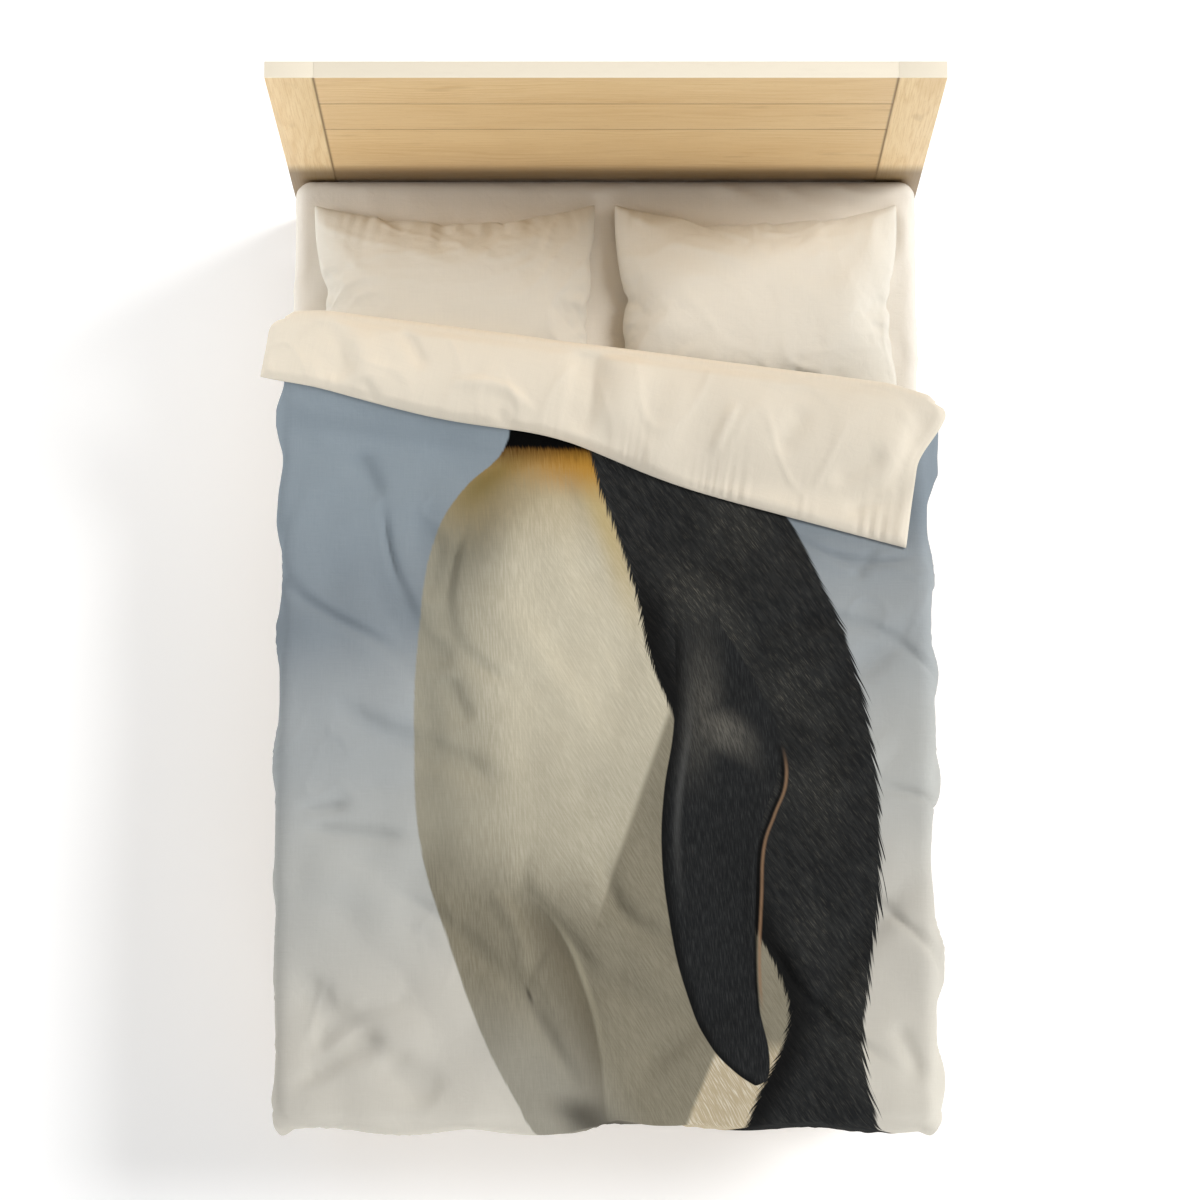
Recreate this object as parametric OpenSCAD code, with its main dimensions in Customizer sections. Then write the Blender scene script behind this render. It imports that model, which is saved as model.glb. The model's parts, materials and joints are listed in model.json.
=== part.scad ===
// Made double bed: panel headboard, slatted base, mattress, fitted sheet, two pillows and a
// printed duvet whose head end is turned back over a slanted fold.
// Foot of the bed towards -Y, headboard towards +Y, origin on the floor under the middle.

/* [Headboard] */
// Width over both stiles
headboard_w = 1400; // [1390:1:1430]
// Height of the top edge above the sheet
headboard_rise = 865; // [760:5:900]
// Thickness of stiles and boards
headboard_t = 34; // [30:1:40]
// Width of each stile
stile_w = 100; // [96:1:110]
// Height of the top board and of the middle board
board_h = 215; // [180:1:230]

/* [Base] */
// Height of the slats' top above the floor
base_top = 270; // [260:1:320]
// Height of the rails
rail_h = 130; // [120:1:140]
// Thickness of the rails
rail_t = 22; // [20:1:24]
// Number of slats
slat_count = 14; // [10:1:16]
// Width of one slat
slat_w = 70; // [60:1:90]

/* [Mattress] */
// Width of the mattress
mattress_w = 1372; // [1368:1:1374]
// Length of the mattress
mattress_l = 2032; // [1980:1:2040]
// Thickness of the mattress
mattress_h = 228; // [200:1:260]

/* [Pillows] */
// Width of one pillow
pillow_w = 616; // [560:1:620]
// Length of one pillow, from head to foot
pillow_l = 458; // [430:1:460]
// Rise of the pillow's crown above its side seam
pillow_crown = 88; // [70:1:88]
// Depth of the pillow below its side seam
pillow_belly = 24; // [20:1:24]

/* [Duvet] */
// Thickness of the filled duvet
duvet_t = 16; // [12:1:18]
// How far the duvet's sides hang below the sheet's top
side_drop = 45; // [30:1:90]
// How far the duvet's foot end hangs below the sheet's top
foot_drop = 115; // [90:1:140]
// How far the duvet's foot end stands beyond the mattress
foot_overhang = 50; // [40:1:70]
// Distance from the mattress's head end to the fold, on the centre line
fold_distance = 419; // [400:1:440]
// Slant of the fold across the bed, in degrees
fold_slant = 7.5; // [0:0.5:9]
// Length of the turned-back end on the centre line
flap_length = 237; // [200:1:280]
// Half of the duvet's width, along the fold
flap_half_w = 750; // [738:1:752]
// Length of the zip inside the foot edge
zip_length = 1000; // [800:10:1100]

/* [Hidden] */
$fn = 48;

far = 3000;
gap = 0.5;
sheet_t = 2;
ticking_t = 2;
panel_t = 1.5;
sheet_top = base_top + mattress_h + sheet_t;
headboard_top = sheet_top + headboard_rise;
head_gap = 3;

// Places along the bed
total_l = foot_overhang + mattress_l + sheet_t + head_gap + headboard_t;
back_y = total_l / 2;
front_y = back_y - headboard_t;
mattress_head_y = front_y - head_gap - sheet_t;
mattress_foot_y = mattress_head_y - mattress_l;
duvet_foot_y = mattress_foot_y - foot_overhang;

// Base
rail_out_x = mattress_w / 2 - 11;
rail_in_x = rail_out_x - rail_t;
rail_bottom = base_top - rail_h;
foot_rail_y = mattress_foot_y + 12;
slat_t = 18;
ledge_w = 22;
ledge_h = 30;
beam_w = 40;
beam_h = 42;
leg_w = 60;
glide_h = 4;
glide_r = 14;
centre_leg_r = 20;
bolt_r = 4;
bore_r = 4.2;
bolt_heights = [rail_bottom + 35, base_top - 35];
bolt_head_r = 8;
bolt_sink = 8;
bolt_x = rail_out_x - rail_t / 2;
foot_leg_x = rail_in_x - leg_w / 2;
foot_leg_y = foot_rail_y + rail_t + leg_w / 2;
ledge_foot_y = foot_rail_y + rail_t + leg_w;
slat_bottom = base_top - slat_t;
slat_first_y = ledge_foot_y + 5 + slat_w / 2;
slat_last_y = front_y - rail_t - 25 - slat_w / 2;
slat_step = (slat_last_y - slat_first_y) / (slat_count - 1);
slat_places = [for (i = [0:slat_count - 1]) slat_first_y + i * slat_step];
beam_foot_y = foot_rail_y + rail_t;
beam_head_y = front_y - rail_t;
centre_leg_places = [for (i = [1, 2]) mattress_foot_y + i * mattress_l / 3];
barrel_r = 6;
barrel_depth = 45;

// Headboard
stile_in_x = headboard_w / 2 - stile_w;
groove = 3;
lower_board_z = sheet_top - 60;
upper_seams = [headboard_top - board_h, headboard_top - 2 * board_h];
dowel_r = 4;
dowel_l = 60;
dowel_inset = 45;

// Mattress and sheet
corner_r = 55;
comfort_h = 60;
elastic_h = 8;

// Pillows
pillow_x = 333;
pillow_head_distance = 84;
case_t = 1.5;
arc_steps = 9;

// Duvet: heights of its underside above the sheet, against distance from the fold
ramp = [[0, 112], [60, 106], [100, 94], [150, 70], [190, 42], [235, 3]];
duvet_in_x = mattress_w / 2 + sheet_t + 2;
duvet_in_foot_y = duvet_foot_y + duvet_t;
fold_y = mattress_head_y - fold_distance;
side_hem_z = sheet_top - side_drop;
foot_hem_z = sheet_top - foot_drop;
flap_from = duvet_t + gap;
fold_z = sheet_top + ramp[0][1] + duvet_t + gap / 2;
nose_r = duvet_t;
flap_reach_x = flap_half_w * cos(fold_slant) + nose_r * sin(fold_slant);

// Zip
zip_z = foot_hem_z + 30;
zip_y = duvet_in_foot_y;
tape_w = 12;
tape_t = 1;
coil_w = 3.6;
coil_t = 2.2;
slider_l = 10;
slider_x = 12 - zip_length / 2;
slider_back = zip_y + tape_t + 0.3;
slider_front = zip_y + 6;

module block(x0, x1, y0, y1, z0, z1) {
  translate([x0, y0, z0]) cube([x1 - x0, y1 - y0, z1 - z0]);
}

module rod_x(r, l, at) {
  translate(at) rotate([0, 90, 0]) cylinder(r = r, h = l, center = true);
}

module rod_y(r, l, at) {
  translate(at) rotate([90, 0, 0]) cylinder(r = r, h = l, center = true);
}

// Plan outline with round corners
module round_plan(w, l, r) {
  square([w - 2 * r, l], center = true);
  square([w, l - 2 * r], center = true);
  for (sx = [-1, 1], sy = [-1, 1]) translate([sx * (w / 2 - r), sy * (l / 2 - r)]) circle(r);
}

// ---------- headboard ----------

board_ends = [
  [upper_seams[0], headboard_top],
  [upper_seams[1], upper_seams[0]],
  [lower_board_z, upper_seams[1]]
];

function dowel_heights(i) = [board_ends[i][0] + dowel_inset, board_ends[i][1] - dowel_inset];

module dowels(r, l) {
  for (side = [-1, 1], i = [0:2], z = dowel_heights(i))
    rod_x(r, l, [side * stile_in_x, front_y + headboard_t / 2, z]);
}

module rail_bolt_bores() {
  for (side = [-1, 1], z = bolt_heights) {
    rod_y(bore_r, 220, [side * bolt_x, front_y, z]);
    rod_y(bolt_head_r + 1, 2 * bolt_sink, [side * bolt_x, back_y, z]);
  }
}

module stile(side) {
  x = side > 0 ? stile_in_x : -headboard_w / 2;
  color("burlywood") difference() {
    block(x, x + stile_w, front_y, back_y, glide_h, headboard_top);
    dowels(dowel_r + 0.1, dowel_l + 1);
    rail_bolt_bores();
  }
}
module headboard_stile_left() { stile(-1); }
module headboard_stile_right() { stile(1); }

// A board with its front edges chamfered where it meets its neighbours
module board(i, groove_above, groove_below) {
  z0 = board_ends[i][0];
  z1 = board_ends[i][1];
  top = groove_above ? groove : 0;
  low = groove_below ? groove : 0;
  outline = [
    [front_y + low, z0], [back_y, z0], [back_y, z1], [front_y + top, z1],
    if (groove_above) [front_y, z1 - groove],
    if (groove_below) [front_y, z0 + groove]
  ];
  color("wheat") difference() {
    rotate([90, 0, 90]) linear_extrude(2 * stile_in_x, center = true) polygon(outline);
    dowels(dowel_r + 0.1, dowel_l + 1);
  }
}
module headboard_top_board() { board(0, false, true); }
module headboard_middle_board() { board(1, true, true); }
module headboard_lower_board() { board(2, true, false); }

module headboard_dowels() { color("tan") dowels(dowel_r, dowel_l); }

// ---------- base ----------

module side_rail(side) {
  x = side > 0 ? rail_in_x : -rail_out_x;
  color("burlywood") difference() {
    block(x, x + rail_t, foot_rail_y, front_y, rail_bottom, base_top);
    rail_bolt_bores();
    for (z = bolt_heights)
      rod_x(barrel_r + 0.1, 3 * rail_t, [side * rail_out_x, front_y - barrel_depth, z]);
    leg_bolt_shape(bore_r);
  }
}
module side_rail_left() { side_rail(-1); }
module side_rail_right() { side_rail(1); }

module foot_rail() {
  color("burlywood") difference() {
    block(-rail_in_x, rail_in_x, foot_rail_y, foot_rail_y + rail_t, rail_bottom, base_top);
    leg_bolt_shape(bore_r);
  }
}

module head_rail() {
  color("burlywood")
    block(-rail_in_x, rail_in_x, front_y - rail_t, front_y, rail_bottom, base_top);
}

module slat_screw_shape(r, head_r) {
  for (y = slat_places, side = [-1, 1])
    translate([side * (rail_in_x - ledge_w / 2), y, 0]) {
      translate([0, 0, base_top - 2]) cylinder(r = head_r, h = 2);
      translate([0, 0, base_top - 40]) cylinder(r = r, h = 38);
    }
}

module slat_ledge(side) {
  x = side > 0 ? rail_in_x - ledge_w : -rail_in_x;
  color("tan") difference() {
    block(x, x + ledge_w, ledge_foot_y, front_y - rail_t, slat_bottom - ledge_h, slat_bottom);
    slat_screw_shape(2.1, 2.1);
  }
}
module slat_ledge_left() { slat_ledge(-1); }
module slat_ledge_right() { slat_ledge(1); }

module slats() {
  color("wheat") difference() {
    for (y = slat_places)
      block(1 - rail_in_x, rail_in_x - 1, y - slat_w / 2, y + slat_w / 2, slat_bottom, base_top);
    slat_screw_shape(2.1, 4.1);
  }
}

module slat_screws() { color("silver") slat_screw_shape(2, 4); }

module centre_beam() {
  color("burlywood")
    block(-beam_w / 2, beam_w / 2, beam_foot_y + 3, beam_head_y - 3, slat_bottom - beam_h, slat_bottom);
}

// A steel shoe under each end of the centre beam
module beam_hangers() {
  shoe_l = 40;
  shoe_t = 2.5;
  color("silver") for (end = [-1, 1]) {
    y0 = end < 0 ? beam_foot_y : beam_head_y - shoe_l;
    difference() {
      block(-beam_w / 2 - shoe_t, beam_w / 2 + shoe_t, y0, y0 + shoe_l,
        slat_bottom - beam_h - shoe_t, slat_bottom - 4);
      block(-beam_w / 2, beam_w / 2, beam_foot_y + shoe_t, beam_head_y - shoe_t,
        slat_bottom - beam_h, slat_bottom);
    }
  }
}

module centre_legs() {
  color("burlywood") for (y = centre_leg_places)
    translate([0, y, glide_h]) cylinder(r = centre_leg_r, h = slat_bottom - beam_h - glide_h);
}

module leg_bolt_shape(r) {
  for (side = [-1, 1]) {
    for (z = bolt_heights)
      rod_x(r, 100, [side * (rail_out_x - 15), foot_leg_y, z - 12]);
    for (z = bolt_heights)
      rod_y(r, 100, [side * foot_leg_x, foot_rail_y + 15, z + 4]);
  }
}

module foot_leg(side) {
  x = side > 0 ? rail_in_x - leg_w : -rail_in_x;
  y = foot_rail_y + rail_t;
  color("burlywood") difference() {
    block(x, x + leg_w, y, y + leg_w, glide_h, slat_bottom);
    leg_bolt_shape(bore_r);
  }
}
module foot_leg_left() { foot_leg(-1); }
module foot_leg_right() { foot_leg(1); }

module floor_glides() {
  stile_mid_x = headboard_w / 2 - stile_w / 2;
  places = concat(
    [for (y = centre_leg_places) [0, y]],
    [for (side = [-1, 1]) [side * foot_leg_x, foot_leg_y]],
    [for (side = [-1, 1]) [side * stile_mid_x, front_y + headboard_t / 2]]
  );
  color("dimgray") for (p = places) translate(p) cylinder(r = glide_r, h = glide_h);
}

module rail_bolts() {
  color("silver") for (side = [-1, 1], z = bolt_heights) {
    x = side * bolt_x;
    head_y = back_y - bolt_sink;
    tip_y = front_y - 60;
    rod_y(bolt_head_r, 5, [x, head_y + 2.5, z]);
    rod_y(bolt_r, head_y - tip_y, [x, (head_y + tip_y) / 2, z]);
  }
}

module barrel_nuts() {
  color("silver") for (side = [-1, 1], z = bolt_heights) {
    at = [side * bolt_x, front_y - barrel_depth, z];
    difference() {
      rod_x(barrel_r, rail_t - 2, at);
      rod_y(bolt_r + 0.1, 4 * barrel_r, at);
    }
  }
}

module leg_bolts() {
  reach = 52;
  head_h = 3;
  color("silver") for (side = [-1, 1], z = bolt_heights) {
    at_x = [side * (rail_out_x + head_h / 2), foot_leg_y, z - 12];
    rod_x(bolt_head_r, head_h, at_x);
    rod_x(bolt_r, reach, [side * (rail_out_x - reach / 2), foot_leg_y, z - 12]);
    rod_y(bolt_head_r, head_h, [side * foot_leg_x, foot_rail_y - head_h / 2, z + 4]);
    rod_y(bolt_r, reach, [side * foot_leg_x, foot_rail_y + reach / 2, z + 4]);
  }
}

// ---------- mattress and sheet ----------

module slab(grow, z0, z1) {
  translate([0, (mattress_head_y + mattress_foot_y) / 2, z0])
    linear_extrude(z1 - z0)
      round_plan(mattress_w + 2 * grow, mattress_l + 2 * grow, corner_r + grow);
}

module mattress_core() {
  color("gainsboro")
    slab(-ticking_t, base_top + ticking_t, sheet_top - sheet_t - ticking_t - comfort_h);
}

module mattress_comfort_layer() {
  top = sheet_top - sheet_t - ticking_t;
  color("lightyellow") slab(-ticking_t, top - comfort_h, top);
}

module mattress_ticking() {
  top = sheet_top - sheet_t;
  color("whitesmoke") difference() {
    slab(0, base_top, top);
    slab(-ticking_t, base_top + ticking_t, top - ticking_t);
  }
}

module fitted_sheet() {
  color("antiquewhite") difference() {
    slab(sheet_t, base_top + elastic_h, sheet_top);
    slab(0, base_top - 1, sheet_top - sheet_t);
  }
}

module sheet_elastic() {
  color("antiquewhite") difference() {
    slab(sheet_t, base_top + 1, base_top + elastic_h);
    slab(0, base_top - 1, base_top + elastic_h + 1);
  }
}

// ---------- pillows ----------

// Height of a shallow arc of the given chord and rise, at x from its middle
function arc_height(x, chord, rise) =
  let (r = (chord * chord / 4 + rise * rise) / (2 * rise)) sqrt(r * r - x * x) - (r - rise);

// Outline between an upper and a lower arc that meet at the seam
module lens(chord, up, down) {
  places = [for (i = [-arc_steps:arc_steps]) chord / 2 * sin(90 * i / arc_steps)];
  polygon([
    for (x = places) [x, arc_height(x, chord, up)],
    for (i = [1:2 * arc_steps - 1]) [-places[i], -arc_height(places[i], chord, down)]
  ]);
}

module pillow_shape(side, inset) {
  w = pillow_w - 4 * inset;
  l = pillow_l - 4 * inset;
  at = [side * pillow_x, mattress_head_y - pillow_head_distance - pillow_l / 2,
    sheet_top + pillow_belly + 0.3];
  translate(at) intersection() {
    rotate([90, 0, 90])
      linear_extrude(w, center = true) lens(l, pillow_crown - inset, pillow_belly - inset);
    rotate([90, 0, 0])
      linear_extrude(l, center = true) lens(w, pillow_crown - inset, pillow_belly - inset);
  }
}

module pillow_filling(side) { color("white") pillow_shape(side, 2 * case_t); }

module pillow_case(side) {
  color("bisque") difference() {
    pillow_shape(side, 0);
    pillow_shape(side, case_t);
  }
}
module pillow_filling_left() { pillow_filling(-1); }
module pillow_filling_right() { pillow_filling(1); }
module pillow_case_left() { pillow_case(-1); }
module pillow_case_right() { pillow_case(1); }

// ---------- duvet ----------

// Everything under a surface that lies k above the duvet's underside, from start beyond the fold
module under_ramp(k, start, bottom) {
  first = [-start, sheet_top + lookup(start, ramp) + k];
  rest = [for (p = ramp) if (p[0] > start) [-p[0], sheet_top + p[1] + k]];
  last = [-far, sheet_top + ramp[len(ramp) - 1][1] + k];
  translate([0, fold_y, 0]) rotate([0, 0, -fold_slant])
    rotate([90, 0, 90]) linear_extrude(far, center = true)
      polygon(concat([[-start, bottom]], [first], rest, [last], [[-far, bottom]]));
}

module duvet_volume(k, start) {
  intersection() {
    under_ramp(k, start, 0);
    block(-duvet_in_x - k, duvet_in_x + k, duvet_in_foot_y - k, back_y, 0, far);
  }
}

// The part of the duvet that lies foot-side of the fold, between two depths in its thickness
module duvet_layer(from, to) {
  difference() {
    duvet_volume(to, nose_r + gap);
    duvet_volume(from, 0);
    block(-far, far, duvet_in_foot_y - from, far, -1, side_hem_z);
    block(-far, far, -far, far, -1, foot_hem_z);
  }
}

module duvet_under_panel() { color("bisque") duvet_layer(0, panel_t); }
module duvet_filling() { color("white") duvet_layer(panel_t, duvet_t - panel_t); }
module duvet_printed_panel() { color("slategray") duvet_layer(duvet_t - panel_t, duvet_t); }

// Outline of the turned-back end: the fold mirrors the duvet's head hem and sides, so that
// they slant by the fold's angle once more
module flap_plan() {
  slant = tan(fold_slant);
  hem = function (x) flap_length + slant * x;
  left = -flap_half_w - slant * hem(-flap_half_w);
  right = flap_half_w - slant * hem(flap_half_w);
  translate([0, fold_y, 0]) rotate([0, 0, -fold_slant])
    linear_extrude(far)
      polygon([[-flap_half_w, 0], [flap_half_w, 0], [right, -hem(right)], [left, -hem(left)]]);
}

module flap_layer(from, to) {
  intersection() {
    difference() {
      under_ramp(to, 0, 0);
      under_ramp(from, -20, -1);
    }
    flap_plan();
    block(-flap_reach_x, flap_reach_x, -far, far, 0, far);
  }
}

// The round of the fold, on its head side
module fold_nose(r) {
  translate([0, fold_y, fold_z]) rotate([0, 0, -fold_slant]) intersection() {
    rod_x(r, 2 * flap_half_w, [0, 0, 0]);
    block(-far, far, 0, far, -far, far);
  }
}

module flap_printed_panel() {
  color("slategray") flap_layer(flap_from, flap_from + panel_t);
}

module flap_filling() {
  color("white") {
    flap_layer(flap_from + panel_t, flap_from + duvet_t - panel_t);
    fold_nose(nose_r - panel_t);
  }
}

module flap_cream_panel() {
  color("bisque") {
    flap_layer(flap_from + duvet_t - panel_t, flap_from + duvet_t);
    difference() {
      fold_nose(nose_r);
      fold_nose(nose_r - panel_t);
    }
  }
}

// ---------- zip ----------

module zip_tapes() {
  color("bisque") for (side = [-1, 1]) {
    z = zip_z + side * (tape_w / 2 + coil_w / 2 + 0.2);
    block(-zip_length / 2, zip_length / 2, zip_y, zip_y + tape_t, z - tape_w / 2, z + tape_w / 2);
  }
}

module zip_coil() {
  color("white")
    block(-zip_length / 2, zip_length / 2, zip_y, zip_y + coil_t,
      zip_z - coil_w / 2, zip_z + coil_w / 2);
}

module zip_stops() {
  color("silver") for (side = [-1, 1]) {
    x = side * (zip_length / 2 + 2);
    block(x - 1.5, x + 1.5, zip_y, zip_y + 3, zip_z - 3, zip_z + 3);
  }
}

module zip_slider() {
  color("silver") difference() {
    union() {
      block(slider_x - slider_l / 2, slider_x + slider_l / 2, slider_back, slider_front,
        zip_z - 6, zip_z + 6);
      block(slider_x - 1, slider_x + 1, slider_front, slider_front + 4, zip_z - 5, zip_z + 5);
    }
    block(-far, far, slider_back - 1, zip_y + coil_t + 0.4,
      zip_z - coil_w / 2 - 0.4, zip_z + coil_w / 2 + 0.4);
    block(-far, far, slider_front - 0.01, slider_front + 2.5, zip_z - 3, zip_z + 3);
  }
}

module zip_pull() {
  y0 = slider_front + 0.6;
  color("silver") difference() {
    block(slider_x - 3, slider_x + 3, y0, y0 + 1.2, zip_z - 26, zip_z + 2.6);
    block(slider_x - 1.4, slider_x + 1.4, y0 - 1, y0 + 2, zip_z - 6, zip_z + 0.4);
  }
}

headboard_stile_left();
headboard_stile_right();
headboard_top_board();
headboard_middle_board();
headboard_lower_board();
headboard_dowels();
side_rail_left();
side_rail_right();
foot_rail();
head_rail();
slat_ledge_left();
slat_ledge_right();
slats();
slat_screws();
centre_beam();
beam_hangers();
centre_legs();
foot_leg_left();
foot_leg_right();
floor_glides();
rail_bolts();
barrel_nuts();
leg_bolts();
mattress_core();
mattress_comfort_layer();
mattress_ticking();
fitted_sheet();
sheet_elastic();
pillow_filling_left();
pillow_case_left();
pillow_filling_right();
pillow_case_right();
duvet_under_panel();
duvet_filling();
duvet_printed_panel();
flap_printed_panel();
flap_filling();
flap_cream_panel();
zip_tapes();
zip_coil();
zip_stops();
zip_slider();
zip_pull();
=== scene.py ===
"""Looks for a made double bed: panel headboard, slatted base, mattress, fitted sheet, two
pillows, and a duvet with a penguin print whose head end is turned back over a slanted fold."""
import json
import math

import bmesh
import bpy
import numpy as np
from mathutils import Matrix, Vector


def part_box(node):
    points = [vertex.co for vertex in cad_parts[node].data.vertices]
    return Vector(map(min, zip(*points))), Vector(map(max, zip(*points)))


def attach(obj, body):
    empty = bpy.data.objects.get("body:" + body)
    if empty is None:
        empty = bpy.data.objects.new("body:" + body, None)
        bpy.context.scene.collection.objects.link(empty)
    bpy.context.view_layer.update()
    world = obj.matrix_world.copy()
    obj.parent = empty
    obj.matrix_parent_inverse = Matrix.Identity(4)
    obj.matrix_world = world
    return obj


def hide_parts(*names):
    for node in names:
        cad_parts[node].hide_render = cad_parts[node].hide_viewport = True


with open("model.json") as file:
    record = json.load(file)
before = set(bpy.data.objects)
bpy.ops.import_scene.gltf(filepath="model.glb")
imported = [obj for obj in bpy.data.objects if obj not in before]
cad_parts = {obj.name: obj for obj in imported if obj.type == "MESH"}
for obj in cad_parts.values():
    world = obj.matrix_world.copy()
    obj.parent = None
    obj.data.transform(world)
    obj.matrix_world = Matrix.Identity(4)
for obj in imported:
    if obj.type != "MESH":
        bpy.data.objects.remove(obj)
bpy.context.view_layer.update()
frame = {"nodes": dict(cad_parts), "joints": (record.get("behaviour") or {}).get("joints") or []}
nodes = frame["nodes"]

# ---------- measures taken from the frame, in metres ----------

sheet_low, sheet_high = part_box("fitted_sheet")
rim_low, rim_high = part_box("sheet_elastic")
print_low, print_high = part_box("duvet_printed_panel")
board_low, board_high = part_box("headboard_top_board")
flap_joint = next(j for j in frame["joints"] if j["name"] == "flap_turn")

SHEET_TOP = sheet_high.z
HINGE = Vector(flap_joint["pos_m"])
ALONG_FOLD = -Vector(flap_joint["axis"])
FROM_FOLD = Vector((ALONG_FOLD.y, -ALONG_FOLD.x, 0))
DUVET_HALF = print_high.x
DUVET_FOOT = print_low.y
DUVET_THICK = 0.016
HEM_THICK = 0.005
HINGE_GAP = 0.0005
SIDE_DROP = 0.045
FOOT_DROP = SHEET_TOP - print_low.z
FLAP_LENGTH = 0.237
FLAP_SLOPE = -ALONG_FOLD.y / ALONG_FOLD.x

# ---------- formulas in node trees ----------


class Term:
    """A value in a node tree. Sums and products of numbers add the tree's Math nodes."""

    def __init__(self, socket):
        self.socket = socket

    def __add__(self, other):
        return calculate("ADD", self, other)

    def __sub__(self, other):
        return calculate("SUBTRACT", self, other)

    def __rsub__(self, other):
        return calculate("MULTIPLY_ADD", self, -1.0, other)

    def __mul__(self, other):
        return calculate("MULTIPLY", self, other)

    __radd__ = __add__
    __rmul__ = __mul__


def srgb(red, green, blue):
    """A colour given as 0 to 255 screen values."""
    linear = [((c / 255 + 0.055) / 1.055) ** 2.4 for c in (red, green, blue)]
    return (*linear, 1.0)


def plug(socket, value):
    """Links a term to an input, or sets the input to a number, a linear colour with four
    values, or a colour with three screen values."""
    if isinstance(value, Term):
        socket.id_data.links.new(value.socket, socket)
    elif isinstance(value, tuple) and len(value) == 3:
        socket.default_value = srgb(*value)
    else:
        socket.default_value = value


def new_node(kind, inputs, **settings):
    """A node with these settings and inputs, in the tree that its first term comes from."""
    first = next(value for value in inputs.values() if isinstance(value, Term))
    node = first.socket.id_data.nodes.new("ShaderNode" + kind)
    for name, value in settings.items():
        setattr(node, name, value)
    for place, value in inputs.items():
        plug(node.inputs[place], value)
    return node


def calculate(operation, *terms):
    return Term(new_node("Math", dict(enumerate(terms)), operation=operation).outputs[0])


def sine(term):
    return calculate("SINE", term)


def maximum(first, second):
    return calculate("MAXIMUM", first, second)


def rising(term, low, high):
    """0 where the term is below low, 1 where it is above high, and smooth between."""
    inputs = {"Value": term, "From Min": low, "From Max": high}
    return Term(new_node("MapRange", inputs, interpolation_type="SMOOTHSTEP").outputs["Result"])


def falling(term, low, high):
    return 1.0 - rising(term, low, high)


def bell(term, middle, width):
    """1 at the middle, falling smoothly to 0 at this distance from it."""
    return falling(calculate("ABSOLUTE", term - middle), 0.0, width)


def mixed(share, first, second, blend="MIX"):
    inputs = {0: share, 6: first, 7: second}
    return Term(new_node("Mix", inputs, data_type="RGBA", blend_type=blend).outputs[2])


def layered(colour, *layers):
    """A colour with others laid over it in turn, each given with its share."""
    for share, cover in layers:
        colour = mixed(share, colour, cover)
    return colour


def vector(x, y, z):
    return Term(new_node("CombineXYZ", {0: x, 1: y, 2: z}).outputs[0])


def noise(place, scale=1.0, detail=2.0, roughness=0.5, distortion=0.0):
    """Smooth random values between 0 and 1 at a place with three parts."""
    inputs = {
        "Vector": vector(*place), "Scale": scale, "Detail": detail,
        "Roughness": roughness, "Distortion": distortion,
    }
    return Term(new_node("TexNoise", inputs).outputs["Fac"])


def coordinates(tree, source):
    """The three parts of a place: on the cloth's map, or in another texture coordinate."""
    if source == "cloth":
        node = tree.nodes.new("ShaderNodeUVMap")
        node.uv_map = source
        place = node.outputs["UV"]
    else:
        place = tree.nodes.new("ShaderNodeTexCoord").outputs[source]
    return [Term(part) for part in new_node("SeparateXYZ", {0: Term(place)}).outputs]


# ---------- camera, lights and floor ----------

CAMERA_PLACE = (-0.012, -1.5585, 11.069)
CAMERA_TILT = math.radians(8.8)
CAMERA_LENS = 146.3
SENSOR_WIDTH = 36
WHITE = (1, 1, 1, 1)
FLOOR_GREY = (0.78, 0.78, 0.78, 1)
HORIZON_BAND = (0.14, 0.3)


def link(name, data):
    """A new object in the scene, which shows this mesh, light or camera."""
    piece = bpy.data.objects.new(name, data)
    bpy.context.scene.collection.objects.link(piece)
    return piece


def add_camera():
    data = bpy.data.cameras.new("camera")
    data.lens = CAMERA_LENS
    data.sensor_width = SENSOR_WIDTH
    camera = link("camera", data)
    camera.location = CAMERA_PLACE
    camera.rotation_euler = (CAMERA_TILT, 0, 0)
    bpy.context.scene.camera = camera


def add_sun(name, azimuth, elevation, strength, spread):
    """A soft distant light. Azimuth 0 stands at the foot of the bed, 90 on its right."""
    data = bpy.data.lights.new(name, "SUN")
    data.energy = strength
    data.angle = math.radians(spread)
    sun = link(name, data)
    sun.rotation_euler = (math.radians(90 - elevation), 0, math.radians(azimuth))


def add_lamp(name, place, target, size, power):
    """A soft near light, for one corner of the bed."""
    data = bpy.data.lights.new(name, "AREA")
    data.energy = power
    data.size = size
    lamp = link(name, data)
    lamp.location = place
    lamp.rotation_euler = (place - target).to_track_quat("Z", "Y").to_euler()
    lamp.visible_camera = False


def add_daylight(overhead, horizon):
    """Even light from above, with a white band along the horizon behind the object."""
    world = bpy.data.worlds.new("daylight")
    world.use_nodes = True
    background = world.node_tree.nodes["Background"]
    background.inputs["Color"].default_value = WHITE
    band = falling(coordinates(world.node_tree, "Generated")[2], *HORIZON_BAND)
    plug(background.inputs["Strength"], band * (horizon - overhead) + overhead)
    bpy.context.scene.world = world


def add_floor(size, own_light):
    """A pale floor, with a little light of its own so that it stays near white."""
    half = size / 2
    corners = [(-half, -half, 0), (half, -half, 0), (half, half, 0), (-half, half, 0)]
    mesh = bpy.data.meshes.new("floor")
    mesh.from_pydata(corners, [], [(0, 1, 2, 3)])
    material, _ = new_material(
        "pale_floor", FLOOR_GREY, 0.9, Emission_Color=WHITE, Emission_Strength=own_light
    )
    mesh.materials.append(material)
    link("floor", mesh)


# ---------- materials ----------

# Painted highlight along the headboard's top edge, where light falls from above
TOP_EDGE_LIGHT = srgb(253, 243, 222)
TOP_EDGE_LIGHT_DEPTH = (0.0045, 0.0025)
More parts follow.
